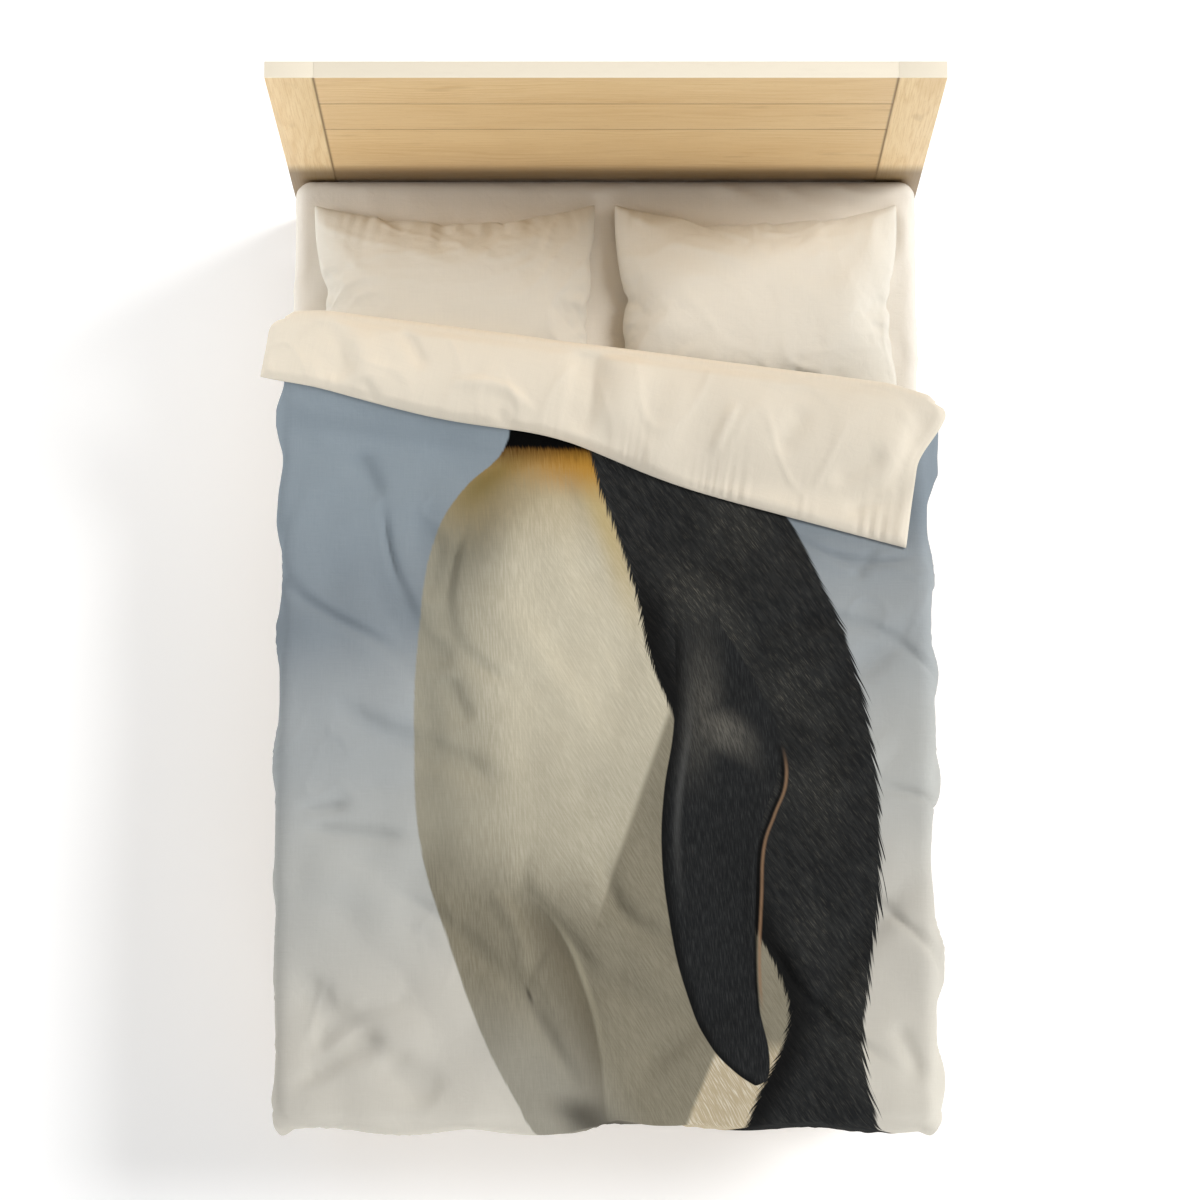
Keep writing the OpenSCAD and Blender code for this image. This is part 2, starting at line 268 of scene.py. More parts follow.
# Painted shadow low on the headboard's front, behind the mattress and pillows
PAINTED_SHADOW_HEIGHTS = (0.54, 0.64)
PAINTED_SHADOW_DEPTH = (0.003, 0.006)
JOINT_REACH = 0.0052
THREAD_PITCH = 0.0008
STRIPE_PITCH = 0.012
TOOTH_PITCH = 0.0022


def surface_of(material):
    return material.node_tree.nodes["Principled BSDF"]


def new_material(name, colour, roughness, source="Object", **settings):
    """A material, and the three parts of the place that it is painted by."""
    material = bpy.data.materials.new(name)
    material.use_nodes = True
    material.diffuse_color = colour
    settings = {"Base Color": colour, "Roughness": roughness, **settings}
    for socket, value in settings.items():
        surface_of(material).inputs[socket.replace("_", " ")].default_value = value
    return material, coordinates(material.node_tree, source)


def bumped(material, height, depth):
    """Adds bumps to a material. The height is a term in units of the depth."""
    bump = new_node("Bump", {"Strength": 1.0, "Distance": depth, "Height": height})
    plug(surface_of(material).inputs["Normal"], Term(bump.outputs["Normal"]))


def painted(material, colour):
    plug(surface_of(material).inputs["Base Color"], colour)
    return material


def darker(colour, red, green, blue):
    return (colour[0] * red, colour[1] * green, colour[2] * blue, 1.0)


def wood(name, colour, grain_axis, joints=()):
    """Pale close-grained wood with its grain along one axis. A piece with joints, each an
    axis and a place along it, has painted shade in them, a painted highlight along its top edge
    and, on its front, a painted shadow behind the pillows."""
    material, place = new_material(name, colour, 0.42)
    length = place[grain_axis]
    side, rise = [place[axis] for axis in (0, 1, 2) if axis != grain_axis]

    def grain(along, across, *settings):
        return noise((length * along, side * across, rise * across), 1.0, *settings)

    drift = grain(1.1, 5.0)
    flow = grain(3.2, 9.0)
    fibre = grain(7.0, 300.0, 3.0, 0.6)
    pore = rising(grain(45.0, 700.0, 1.0), 0.66, 0.76)
    knot = rising(grain(7.0, 22.0, 1.0), 0.66, 0.8)
    band = sine((side + rise) * 210.0 + drift * 62.0 + flow * 14.0) * 0.5 + 0.5
    figure = calculate("POWER", band, 3.0)
    brown = darker(colour, 0.78, 0.68, 0.54)
    deep = darker(colour, 0.52, 0.4, 0.26)
    layers = [
        (rising(drift, 0.3, 0.7) * 0.55, darker(colour, 1.06, 1.08, 1.12)),
        (0.55, colour),
        (figure * rising(flow, 0.35, 0.65) * 0.55, brown),
        (rising(fibre, 0.4, 0.68) * 0.62, brown),
        (pore * 0.35, deep),
        (knot * 0.3, deep),
    ]
    # Painted shade in the groove at each joint, darkest along its middle
    for axis, middle in joints:
        layers.append((bell(place[axis], middle, JOINT_REACH) * 0.85, darker(colour, 0.25, 0.19, 0.12)))
    if joints:
        # A painted shadow on the front face only, low down behind the mattress and pillows
        front = falling(place[1], *(board_low.y + depth for depth in PAINTED_SHADOW_DEPTH))
        painted_shadow = falling(place[2], *PAINTED_SHADOW_HEIGHTS) * front
        # A painted highlight along the top edge, where light falls from above
        edge = rising(place[2], *(board_high.z - depth for depth in TOP_EDGE_LIGHT_DEPTH))
        layers += [(painted_shadow * 0.88, darker(colour, 0.24, 0.2, 0.15)), (edge * 0.95, TOP_EDGE_LIGHT)]
    plug(surface_of(material).inputs["Roughness"], fibre * 0.18 + 0.36)
    bumped(material, fibre * 0.7 - pore * 1.2 + figure * 0.3, 0.00018)
    return painted(material, layered(brown, *layers))


def add_cloth_surface(material, across, along):
    """Plain weave, slubs and fine creases in a cloth's bumps, and the slubs as a term."""
    warp = noise((across * 900.0, along * 18.0, 0.0))
    weft = noise((across * 18.0, along * 900.0, 3.0))
    crumple = noise((across, along, 7.0), 24.0, 4.0, 0.55, 0.6)
    turn = math.pi / THREAD_PITCH
    weave = sine(across * turn) * sine(along * turn) * 0.5 + 0.5
    bumped(material, weave * 0.1 + (warp + weft) * 0.12 + crumple * 1.6, 0.0011)
    return (warp + weft) * 0.5


def plain_cloth(name, colour, source="cloth"):
    """Cotton of one colour, with slubs in its threads and faint clouds of tone."""
    material, (across, along, _) = new_material(
        name, colour, 0.88, source, Sheen_Weight=0.25, Sheen_Roughness=0.5, Specular_IOR_Level=0.2
    )
    slub = add_cloth_surface(material, across, along)
    tone = noise((across, along, 0.0), 5.0, 3.0)
    shade = darker(colour, 0.9, 0.9, 0.9)
    return painted(material, layered(
        colour, (rising(slub, 0.35, 0.65) * 0.35, shade), (rising(tone, 0.35, 0.75) * 0.16, shade)
    ))


def ticking_cloth():
    """Mattress ticking: a thick knit with fine stripes."""
    colour = srgb(232, 230, 222)
    material, (x, y, z) = new_material("ticking_cloth", colour, 0.9, Sheen_Weight=0.2)
    stripe = rising(sine(x * (math.tau / STRIPE_PITCH)), 0.55, 0.75)
    quilt = calculate("ABSOLUTE", sine((x + y) * 26.0) * sine((x - y) * 26.0))
    bumped(material, quilt + noise((x, y, z), 900.0), 0.002)
    return painted(material, mixed(stripe * 0.55, colour, (196, 198, 200)))


def foam(name, colour):
    """Open-cell foam."""
    material, place = new_material(name, colour, 0.95)
    cells = new_node("TexVoronoi", {"Scale": 420.0, "Vector": vector(*place)})
    cell = Term(cells.outputs["Distance"])
    bumped(material, cell, 0.001)
    return painted(material, mixed(rising(cell, 0.2, 0.7), darker(colour, 0.7, 0.7, 0.7), colour))


def metal(name, colour, roughness):
    """Zinc-plated metal with fine turning marks and a little dulling."""
    material, (x, y, z) = new_material(name, colour, roughness, Metallic=1.0)
    dull = noise((x, y, z), 160.0, 3.0)
    bumped(material, noise((x * 300.0, y * 300.0, z * 4000.0), 1.0, 1.0), 0.00006)
    plug(surface_of(material).inputs["Roughness"], dull * 0.2 + (roughness - 0.1))
    return painted(material, mixed(rising(dull, 0.4, 0.7), colour, darker(colour, 0.72, 0.72, 0.72)))


def felt():
    material, place = new_material("grey_felt", srgb(92, 90, 88), 0.97, Sheen_Weight=0.4)
    fluff = noise(place, 1400.0, 4.0, 0.7)
    bumped(material, fluff, 0.0008)
    return painted(material, mixed(rising(fluff, 0.35, 0.7), (62, 61, 60), (128, 125, 122)))


def nylon():
    """The zip's coil: a row of teeth."""
    colour = srgb(226, 214, 196)
    material, place = new_material("nylon_coil", colour, 0.35)
    tooth = sine(place[0] * (math.tau / TOOTH_PITCH)) * 0.5 + 0.5
    bumped(material, tooth, 0.0006)
    return painted(material, mixed(tooth, (150, 140, 124), colour))


# ---------- the penguin print ----------

# The drawing's span, in metres of flat cloth: x to the right, y towards the head
PRINT_LEFT = -0.8
PRINT_FOOT = -1.3
PRINT_WIDTH = 1.6
PRINT_LENGTH = 2.3


def outline(y, points):
    """x along a smooth line through these (y, x) points, given from the foot upwards."""
    places = [((py - PRINT_FOOT) / PRINT_LENGTH, (px - PRINT_LEFT) / PRINT_WIDTH) for py, px in points]
    node = new_node("FloatCurve", {"Value": (y - PRINT_FOOT) * (1 / PRINT_LENGTH)})
    curve = node.mapping.curves[0]
    curve.points[0].location = places[0]
    curve.points[-1].location = places[-1]
    for place in places[1:-1]:
        curve.points.new(*place)
    node.mapping.extend = "HORIZONTAL"
    node.mapping.update()
    return Term(node.outputs[0]) * PRINT_WIDTH + PRINT_LEFT


FRONT_LINE = [
    (-1.24, -0.06), (-1.04, -0.18), (-0.9, -0.255), (-0.68, -0.337), (-0.47, -0.4),
    (-0.24, -0.416), (0.02, -0.406), (0.21, -0.374), (0.32, -0.31), (0.42, -0.215),
    (0.47, -0.208), (0.58, -0.235), (0.7, -0.215), (0.78, -0.14), (0.8, -0.08),
]
BACK_LINE = [
    (-1.24, 0.64), (-1.06, 0.576), (-0.9, 0.552), (-0.75, 0.563), (-0.6, 0.585),
    (-0.45, 0.59), (-0.29, 0.58), (-0.04, 0.53), (0.13, 0.46), (0.27, 0.385),
    (0.38, 0.25), (0.48, 0.09), (0.58, 0.045), (0.7, 0.02), (0.78, -0.04), (0.8, -0.08),
]
BELLY_EDGE = [
    (-1.24, 0.24), (-1.06, 0.305), (-0.97, 0.345), (-0.9, 0.38), (-0.82, 0.394),
    (-0.74, 0.372), (-0.64, 0.32), (-0.45, 0.26), (-0.19, 0.15), (-0.04, 0.092),
    (0.07, 0.07), (0.15, 0.047), (0.24, 0.017), (0.32, -0.014), (0.38, -0.03), (0.42, -0.045),
]
FLIPPER_FRONT = [
    (-0.985, 0.322), (-0.955, 0.277), (-0.895, 0.223), (-0.77, 0.17), (-0.64, 0.14),
    (-0.48, 0.122), (-0.35, 0.127), (-0.22, 0.147), (-0.1, 0.153), (0.02, 0.15),
]
FLIPPER_BACK = [
    (-0.985, 0.326), (-0.975, 0.347), (-0.94, 0.354), (-0.81, 0.331), (-0.685, 0.325),
    (-0.52, 0.328), (-0.42, 0.338), (-0.32, 0.372), (-0.235, 0.382), (-0.15, 0.35), (0.02, 0.25),
]
TRAILING_EDGE = [
    (-0.82, 0.337), (-0.72, 0.332), (-0.58, 0.337), (-0.46, 0.345), (-0.4, 0.366),
    (-0.324, 0.392), (-0.235, 0.381),
]
SKIN_FOLD = [
    (-1.24, 0.03), (-1.03, 0.0), (-0.91, -0.012), (-0.75, -0.055), (-0.65, -0.1),
    (-0.58, -0.16), (-0.545, -0.24),
]
SKY = [
    (-1.15, (209, 204, 192)), (-0.8, (197, 193, 183)), (-0.42, (180, 181, 177)),
    (-0.1, (160, 165, 167)), (0.16, (129, 138, 145)), (0.45, (135, 146, 154)),
]


def ramp(place, stops):
    """A colour that changes along a term through (place, colour) stops."""
    low = stops[0][0]
    span = stops[-1][0] - low
    node = new_node("ValToRGB", {"Fac": (place - low) * (1 / span)})
    node.color_ramp.interpolation = "EASE"
    while len(node.color_ramp.elements) < len(stops):
        node.color_ramp.elements.new(0.5)
    for element, (stop, colour) in zip(node.color_ramp.elements, stops):
        element.position = (stop - low) / span
        element.color = srgb(*colour)
    return Term(node.outputs["Color"])


def strokes(x, y, lean, width, length, detail=2.0):
    """Fine hairs of this width and length. They lean right as they run down."""
    along = y - x * lean
    across = x + y * lean
    return noise((across * (1 / width), along * (1 / length), 1.0), 1.0, detail, 0.6)


def hair_tips(place, width):
    """How far hairs reach past an outline, from 0 to 1, by the line that each hair lies on."""
    return rising(noise((place * (1 / width), 0.0, 3.0), 1.0, 3.0, 0.6), 0.34, 0.74)


def sky(x, y):
    """Blue-grey above, warm pale grey below, a little further up on the right."""
    cloud = noise((x * 0.8, y, 0.0), 1.8) - 0.5
    return ramp(y + x * -0.2 + cloud * 0.16, SKY)


def belly(x, y, front, edge):
    """Cream breast, amber under the throat, shaded at its front margin and low down."""
    inside = x - front
    turn = rising(inside, 0.16, 0.36)
    straight = strokes(x, y, 0.08, 0.0032, 0.045)
    hair = straight * (1.0 - turn) + strokes(x, y, 0.6, 0.0032, 0.05) * turn
    grain = rising(hair, 0.35, 0.65)
    fleck = rising(hair, 0.46, 0.7)
    # The flipper's shadow lies beyond a line that slants down to the left
    shadow = rising(x + y * -0.355 + hair * 0.016, 0.2, 0.218) * falling(y, -0.2, -0.12)
    far_low = falling(y + inside * 0.22 + hair * 0.04, -0.6, -0.34) * falling(x, 0.02, 0.06)
    amber = rising(y + hair * 0.06 + x * 0.16, 0.3, 0.4) * (rising(x, -0.24, -0.08) * 0.75 + 0.25)
    # A fold of skin low on the belly, with a navel-like slit and two pleats beside it
    beyond = x - outline(y, SKIN_FOLD)
    hollow = rising(beyond, -0.1, -0.005) * falling(beyond, -0.005, 0.004)
    slit = bell(x + y * 0.35, -0.441, 0.008) * bell(y, -0.79, 0.032)
    pleat = bell(x + y * -0.55, 0.258, 0.016) * bell(y, -0.71, 0.09)
    pleat = maximum(pleat, bell(x + y * 0.45, -0.52, 0.014) * bell(y, -0.84, 0.06))
    # Light that falls past the flipper's tip
    past_tip = rising(x + y * -0.42, 0.615, 0.63) * falling(y, -0.93, -0.88)
    return layered(
        (182, 175, 154),
        (grain, (196, 189, 168)),
        (fleck * 0.35, (212, 206, 188)),
        (bell(inside, 0.36, 0.26) * bell(y, -0.06, 0.4) * 0.45, (208, 200, 178)),
        (falling(inside, 0.03, 0.24) * 0.75, (132, 130, 117)),
        (falling(y, -0.42, -0.1) * 0.35, (150, 144, 126)),
        (bell(inside, 0.09, 0.11) * bell(y, 0.22, 0.2) * 0.65, (102, 99, 85)),
        (maximum(shadow, far_low) * 0.9, mixed(grain, (120, 114, 97), (132, 126, 109))),
        (rising(y + hair * 0.08, 0.18, 0.46) * 0.62, (158, 132, 74)),
        (bell(x - edge, -0.012, 0.055) * rising(y, -0.06, 0.24) * 0.55, (178, 154, 90)),
        (bell(inside, 0.03, 0.09) * bell(y, 0.34, 0.14) * 0.75, (112, 96, 50)),
        (amber * 0.85, (172, 122, 36)),
        (rising(y + hair * 0.04, 0.38, 0.438) * 0.9, (70, 42, 12)),
        (hollow * falling(y, -0.68, -0.55) * 0.62, (86, 79, 64)),
        (bell(beyond, 0.008, 0.011) * bell(y, -0.74, 0.22) * 0.5, (166, 160, 138)),
        (slit * 0.85, (58, 52, 42)),
        (pleat * 0.4, (104, 98, 84)),
        (past_tip * 0.9, mixed(fleck, (188, 172, 142), (226, 218, 198))),
        (falling(y, -0.98, -0.72) * falling(inside, 0.1, 0.28) * 0.55, (166, 163, 152)),
        (bell(inside, 0.13, 0.1) * falling(y, -1.05, -0.99) * 0.7, (52, 48, 41)),
    )


def plumage(x, y, edge):
    """Near-black back: fine pale hairs, with a grey sheen over the shoulder."""
    hair = strokes(x, y, 0.75, 0.0021, 0.034, 3.0)
    coarse = strokes(x, y, 0.7, 0.01, 0.08)
    shoulder = bell(x + y * 0.4, 0.235, 0.11) * bell(y, 0.03, 0.19)
    rump = bell(x + y * 0.2, 0.36, 0.16) * rising(noise((x, y, 5.0), 5.0), 0.4, 0.7) * 0.5
    sheen = maximum(shoulder, rump) * (coarse * 1.2 + 0.3)
    return layered(
        (32, 33, 34),
        (rising(coarse, 0.35, 0.7), (45, 46, 46)),
        (sheen * 0.4, (76, 76, 72)),
        (rising(hair, 0.5, 0.72) * (sheen * 0.7 + 0.22), (110, 106, 96)),
        (bell(x - edge, 0.015, 0.07) * falling(y, 0.02, 0.2) * 0.8, (18, 18, 18)),
    )


def flipper(x, y, front, back):
    """Leathery dark flipper: fine streaks along it and soft light on its crest."""
    grain = strokes(x, y, 0.1, 0.0024, 0.03, 3.0)
    swirl = strokes(x, y, 0.75, 0.0034, 0.026)
    strand = rising(strokes(x, y, 0.3, 0.003, 0.045), 0.42, 0.62)
    inside = x - front
    upper = bell(inside, 0.06, 0.065) * bell(y, -0.16, 0.24)
    crest_line = calculate("ABSOLUTE", y + x * 0.25 + (x - 0.25) * (x - 0.25) * 4.0 + 0.15)
    crest = falling(crest_line, 0.01, 0.07) * bell(x, 0.255, 0.11)
    light = maximum(upper * 0.42, crest * 0.7) * (swirl * 0.9 + 0.05 + strand * 0.5)
    return layered(
        (33, 34, 35),
        (rising(grain, 0.4, 0.75), (54, 55, 55)),
        (falling(inside, 0.004, 0.026) * 0.7, (17, 17, 17)),
        (light, (112, 109, 101)),
        (bell(inside, 0.034, 0.014) * bell(y, -0.36, 0.3) * 0.22, (120, 120, 118)),
        (bell(x - back, -0.02, 0.016) * bell(y, -0.6, 0.26) * 0.25, (14, 14, 14)),
    )


def head(x, y):
    """Black hood with an orange patch behind the cheek."""
    ear = bell(x + y * 0.25, 0.135, 0.055) * bell(y, 0.56, 0.11)
    black = mixed(strokes(x, y, -0.2, 0.003, 0.02), (4, 4, 4), (13, 13, 13))
    return mixed(rising(ear, 0.15, 0.45), black, (222, 150, 50))


def penguin_print():
    """Printed cotton: an emperor penguin, seen from its front left, against a cold sky."""
    material, (x, y, _) = new_material(
        "penguin_print", srgb(120, 122, 120), 0.88, "cloth", Sheen_Weight=0.02, Specular_IOR_Level=0.0
    )
    slub = add_cloth_surface(material, x, y)
    tuft = strokes(x, y, 0.3, 0.0042, 0.048, 3.0)
    lines = (FRONT_LINE, BACK_LINE, BELLY_EDGE, FLIPPER_FRONT, FLIPPER_BACK, TRAILING_EDGE)
    front, back, edge, wing_front, wing_back, trail = [outline(y, line) for line in lines]
    past_back = x - back
    tips = hair_tips(past_back + y * 0.26, 0.0052)
    uneven = rising(noise((y, 0.0, 9.0), 11.0, 1.0), 0.35, 0.65)
    shaggy = falling(y, -0.2, 0.3) * (uneven * 0.014 + 0.006) + 0.008
    inside = rising(x - front + tuft * 0.006, -0.0015, 0.0055)
    inside = inside * falling(past_back - tips * shaggy, -0.002, 0.004) * falling(y, 0.795, 0.8)
    past_edge = x - edge
    fringe = hair_tips(past_edge + y * -0.45, 0.0045) * 0.014 + tuft * 0.012
    dark = rising(past_edge + fringe - 0.012, -0.005, 0.004)
    wing = rising(x - wing_front, -0.0015, 0.0015) * falling(x - wing_back, -0.0015, 0.0015)
    wing = wing * rising(y, -0.986, -0.984) * falling(y + x * -0.5, -0.14, 0.0)
    hood = rising(y + x * 0.03 + tuft * 0.02, 0.406, 0.418) * falling(past_edge, 0.0, 0.02)
    black_head = head(x, y)
    groove = bell(x - trail, -0.007, 0.008) * rising(y, -0.86, -0.78) * falling(y, -0.3, -0.22)
    welt = bell(x - trail, 0.001, 0.006) * rising(y, -0.84, -0.76) * falling(y, -0.32, -0.24)
    body = layered(
        belly(x, y, front, edge),
        (dark, plumage(x, y, edge)),
        (hood, black_head),
        (rising(y, 0.46, 0.52), black_head),
        (wing, flipper(x, y, wing_front, wing_back)),
        (groove * 0.8, (14, 13, 12)),
        (welt * (tuft * 0.6 + 0.45), (142, 112, 86)),
    )
    colour = mixed(inside, sky(x, y), body)
    return painted(material, mixed(rising(slub, 0.3, 0.7) * 0.12, colour, (255, 255, 255), "SOFT_LIGHT"))


# ---------- numbers and meshes ----------

def eased(value, low, high):
    """0 below low, 1 above high, smooth between, for arrays."""
    share = np.clip((value - low) / (high - low), 0, 1)
    return share * share * (3 - 2 * share)


def hump(value, width):
    return np.exp(-(value / width) ** 2)


def relief(x, y, size, seed, count=26):
    """A smooth random surface with bumps of about this size and a mean square of 1."""
    rng = np.random.default_rng(seed)
    total = np.zeros_like(x)
    for _ in range(count):
        heading = rng.uniform(0, math.tau)
        pitch = math.pi / size * rng.uniform(0.65, 1.35)
        phase = rng.uniform(0, math.tau)
        total += np.cos(pitch * (x * math.cos(heading) + y * math.sin(heading)) + phase)
    return total / math.sqrt(count / 2)


def ridges(x, y, size, seed, sharpness=0.35):
    """Soft crease lines that wander and cross: high along the zero lines of a relief."""
    bend = relief(x, y, size * 2.5, seed + 50) * size * 0.5
    return np.exp(-(relief(x + bend, y - bend, size, seed) / sharpness) ** 2)


def smooth_line(points, count=20):
    """More points on a smooth curve through the given ones."""
    known = np.array(points, float)
    if len(known) == 2:
        share = np.linspace(0, 1, count)[:, None]
        return known[0] * (1 - share) + known[1] * share
    padded = np.vstack([2 * known[0] - known[1], known, 2 * known[-1] - known[-2]])
    rows = []
    for place in np.linspace(0, len(known) - 1.0001, count):
        i = int(place)
        t = place - i
        a, b, c, d = padded[i:i + 4]
        rows.append(0.5 * (2 * b + (c - a) * t + (2 * a - 5 * b + 4 * c - d) * t ** 2
                           + (3 * b - a - 3 * c + d) * t ** 3))
    return np.array(rows)


def crease(x, y, points, width, height, sharp=1.0):
    """A ridge along a line, or a valley where height is negative, that fades at its ends.
    Its right-hand side, seen along the line, is steeper where sharp is above 1."""
    line = smooth_line(points)
    nearest = np.full(x.shape, 1e9)
    signed = np.zeros(x.shape)
    along = np.zeros(x.shape)
    total = len(line) - 1
    for i in range(total):
        ax, ay = line[i]
        dx, dy = line[i + 1] - line[i]
        reach = np.clip(((x - ax) * dx + (y - ay) * dy) / (dx * dx + dy * dy), 0, 1)
        px = x - ax - reach * dx
        py = y - ay - reach * dy
        distance = np.hypot(px, py)
        closer = distance < nearest
        nearest = np.where(closer, distance, nearest)
        signed = np.where(closer, px * dy - py * dx, signed)
        along = np.where(closer, (i + reach) / total, along)
    narrow = np.where(signed > 0, width / sharp, width)
    fade = eased(along, -0.02, 0.3) * (1 - eased(along, 0.7, 1.02))
    return height * np.exp(-(nearest / narrow) ** 2) * fade


def creased(total, x, y, creases, wider=1.0, higher=1.0):
    """A relief with creases added, each as listed for crease() after its two places."""
    for points, width, height, *sharp in creases:
        total = total + crease(x, y, points, width * wider, height * higher, *sharp)
    return total


def puckers(along, inward, spacing, length, depth, seed):
    """Small gathers that run inwards from a seam, of uneven strength and spacing."""
    wander = relief(along, along * 0, spacing * 4, seed, 12) * spacing * 0.7
    strength = eased(relief(along, along * 0, spacing * 3, seed + 1, 12), -0.9, 1.3)
    wave = np.cos((along + wander) * math.tau / spacing)
    return depth * strength * wave * np.exp(-np.maximum(inward, 0) / length)


def turned_edge(excess, radius):
    """How far out and down cloth reaches that runs this far past an edge, and its lean."""
    lean = np.clip(excess / radius, 0, math.pi / 2)
    hanging = np.maximum(excess - radius * math.pi / 2, 0)
    return radius * np.sin(lean), radius * (1 - np.cos(lean)) + hanging, lean


def stacked(*parts):
    """Places from their parts, which may be grids, rows or single numbers."""
    return np.stack(np.broadcast_arrays(*parts), -1)


def quads_of(index):
    """The four-cornered faces between the points of a grid."""
    return stacked(index[:-1, :-1], index[:-1, 1:], index[1:, 1:], index[1:, :-1]).reshape(-1, 4)


def new_piece(name, points, faces, materials=(), cloth=None):
    """A smooth piece. Its map, where it has one, is each point's place on the flat cloth."""
    mesh = bpy.data.meshes.new(name)
    mesh.from_pydata(points, [], faces)
    for material in materials:
        mesh.materials.append(material)
    mesh.polygons.foreach_set("use_smooth", np.ones(len(faces), bool))
    if cloth is not None:
        corners = np.zeros(len(mesh.loops), np.int32)
        mesh.loops.foreach_get("vertex_index", corners)
        layer = mesh.uv_layers.new(name="cloth")
        layer.data.foreach_set("uv", cloth[corners].astype(np.float32).ravel())
    return link(name, mesh)


def face_outwards(piece):
    """Turns every face of a closed mesh to face outwards."""
    shape = bmesh.new()
    shape.from_mesh(piece.data)
    bmesh.ops.recalc_face_normals(shape, faces=shape.faces)
    shape.to_mesh(piece.data)
    shape.free()


def closed_sheet(name, outer, inner, cloth, materials, inner_material=0):
    """A closed mesh between two grids of points, with the cloth's flat places as its map."""
    rows, columns = outer.shape[:2]
    count = rows * columns
    index = np.arange(count).reshape(rows, columns)
    quads = quads_of(index)
    rim = np.concatenate([index[0, :], index[1:, -1], index[-1, -2::-1], index[-2:0:-1, 0]])
    after = np.roll(rim, -1)
    faces = np.vstack([quads, quads[:, ::-1] + count, stacked(rim, rim + count, after + count, after)])
    points = np.vstack([outer.reshape(-1, 3), inner.reshape(-1, 3)])
    places = np.vstack([cloth.reshape(-1, 2)] * 2)
    piece = new_piece(name, points.tolist(), faces.tolist(), materials, places)
    numbers = np.zeros(len(faces), np.int32)
    numbers[len(quads):2 * len(quads)] = inner_material
    piece.data.polygons.foreach_set("material_index", numbers)
    face_outwards(piece)
    return piece


def apply_modifiers(piece):
    evaluated = piece.evaluated_get(bpy.context.evaluated_depsgraph_get())
    mesh = bpy.data.meshes.new_from_object(evaluated)
    piece.modifiers.clear()
    piece.data = mesh


def stand_in(piece, body, slot, *cad_nodes):
    """Makes a piece ride on a body, in the place of its CAD nodes."""
    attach(piece, body)
    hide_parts(*cad_nodes)


def softened(node, material, slot, radius, least_edge=0.012):
    """A copy of a CAD piece with its long sharp edges rounded."""
    shape = bmesh.new()
    shape.from_mesh(nodes[node].data)
    bmesh.ops.remove_doubles(shape, verts=shape.verts, dist=0.00002)
    bmesh.ops.dissolve_limit(shape, angle_limit=math.radians(1), verts=shape.verts, edges=shape.edges)
    for face in shape.faces:
        face.smooth = False
    sharp = [
        e for e in shape.edges
        if len(e.link_faces) == 2 and e.calc_face_angle() > math.radians(35)
        and e.calc_length() > least_edge
    ]
    rounded = bmesh.ops.bevel(
        shape, geom=sharp, offset=radius, segments=3, profile=0.5, affect="EDGES", clamp_overlap=True
    )
    for face in rounded["faces"]:
        face.smooth = True
    mesh = bpy.data.meshes.new(node + "_finished")
    shape.to_mesh(mesh)
    shape.free()
    mesh.materials.append(material)
    mesh.set_sharp_from_angle(angle=math.radians(40))
    stand_in(link(node + "_finished", mesh), "bed", slot, node)


def repaint(material, *cad_nodes):
    """Gives CAD pieces a finished material."""
    for node in cad_nodes:
        nodes[node].data.materials.clear()
        nodes[node].data.materials.append(material)


# ---------- the duvet's lie ----------

RAMP_RISE = HINGE.z - SHEET_TOP - DUVET_THICK
RAMP_LENGTH = 0.235
BED_CLEARANCE = 0.003
EDGE_RADIUS = 0.025
LOFT = 0.012
DEEPEST = 0.012
TALLEST = 0.026
CREASE_GAIN = 1.35
RELIEF_GAIN = 1.6


def fold_places(x, y):
    """Places along the fold, and distances from it towards the foot."""
    dx = x - HINGE.x
    dy = y - HINGE.y
    return dx * ALONG_FOLD.x + dy * ALONG_FOLD.y, dx * FROM_FOLD.x + dy * FROM_FOLD.y


def from_fold(place, distance):
    """The point this far along the fold, and this far from it towards the foot."""
    x = HINGE.x + place * ALONG_FOLD.x + distance * FROM_FOLD.x
    y = HINGE.y + place * ALONG_FOLD.y + distance * FROM_FOLD.y
    return x, y


def lie_height(x, y):
    """Height of the duvet's top: level on the mattress, and rising over the pillows."""
    distance = np.maximum(fold_places(x, y)[1], 0)
    share = distance / RAMP_LENGTH
    over_pillow = (RAMP_RISE - BED_CLEARANCE) * (1 - share ** 2.2)
    rise = 0.5 * (over_pillow + np.sqrt(over_pillow ** 2 + 0.018 ** 2)) * (over_pillow > -2)
    past_pillow = eased(np.abs(x), 0.6, 0.76)
    between = hump(x + 0.005, 0.035)
    settle = past_pillow * (0.05 + 0.42 * eased(distance, 0.0, 0.13))
    settle = settle + 0.1 * between * eased(distance, 0.0, 0.06)
    return SHEET_TOP + BED_CLEARANCE + DUVET_THICK + rise * (1 - settle)


def under_duvet(x, y):
    """Height of the duvet's underside, above everything that it covers."""
    return lie_height(x, y) - DUVET_THICK


def tucked(place):
    """How far both ends of the fold draw back towards the foot."""
    return 0.018 * eased(np.abs(place), 0.6, 0.75)


def hemmed(inward):
    """How full the filling is at this distance from the hem, from 0 to 1, and the thickness there."""
    fullness = eased(inward, -0.004, 0.02)
    return fullness, HEM_THICK + (DUVET_THICK - HEM_THICK) * fullness


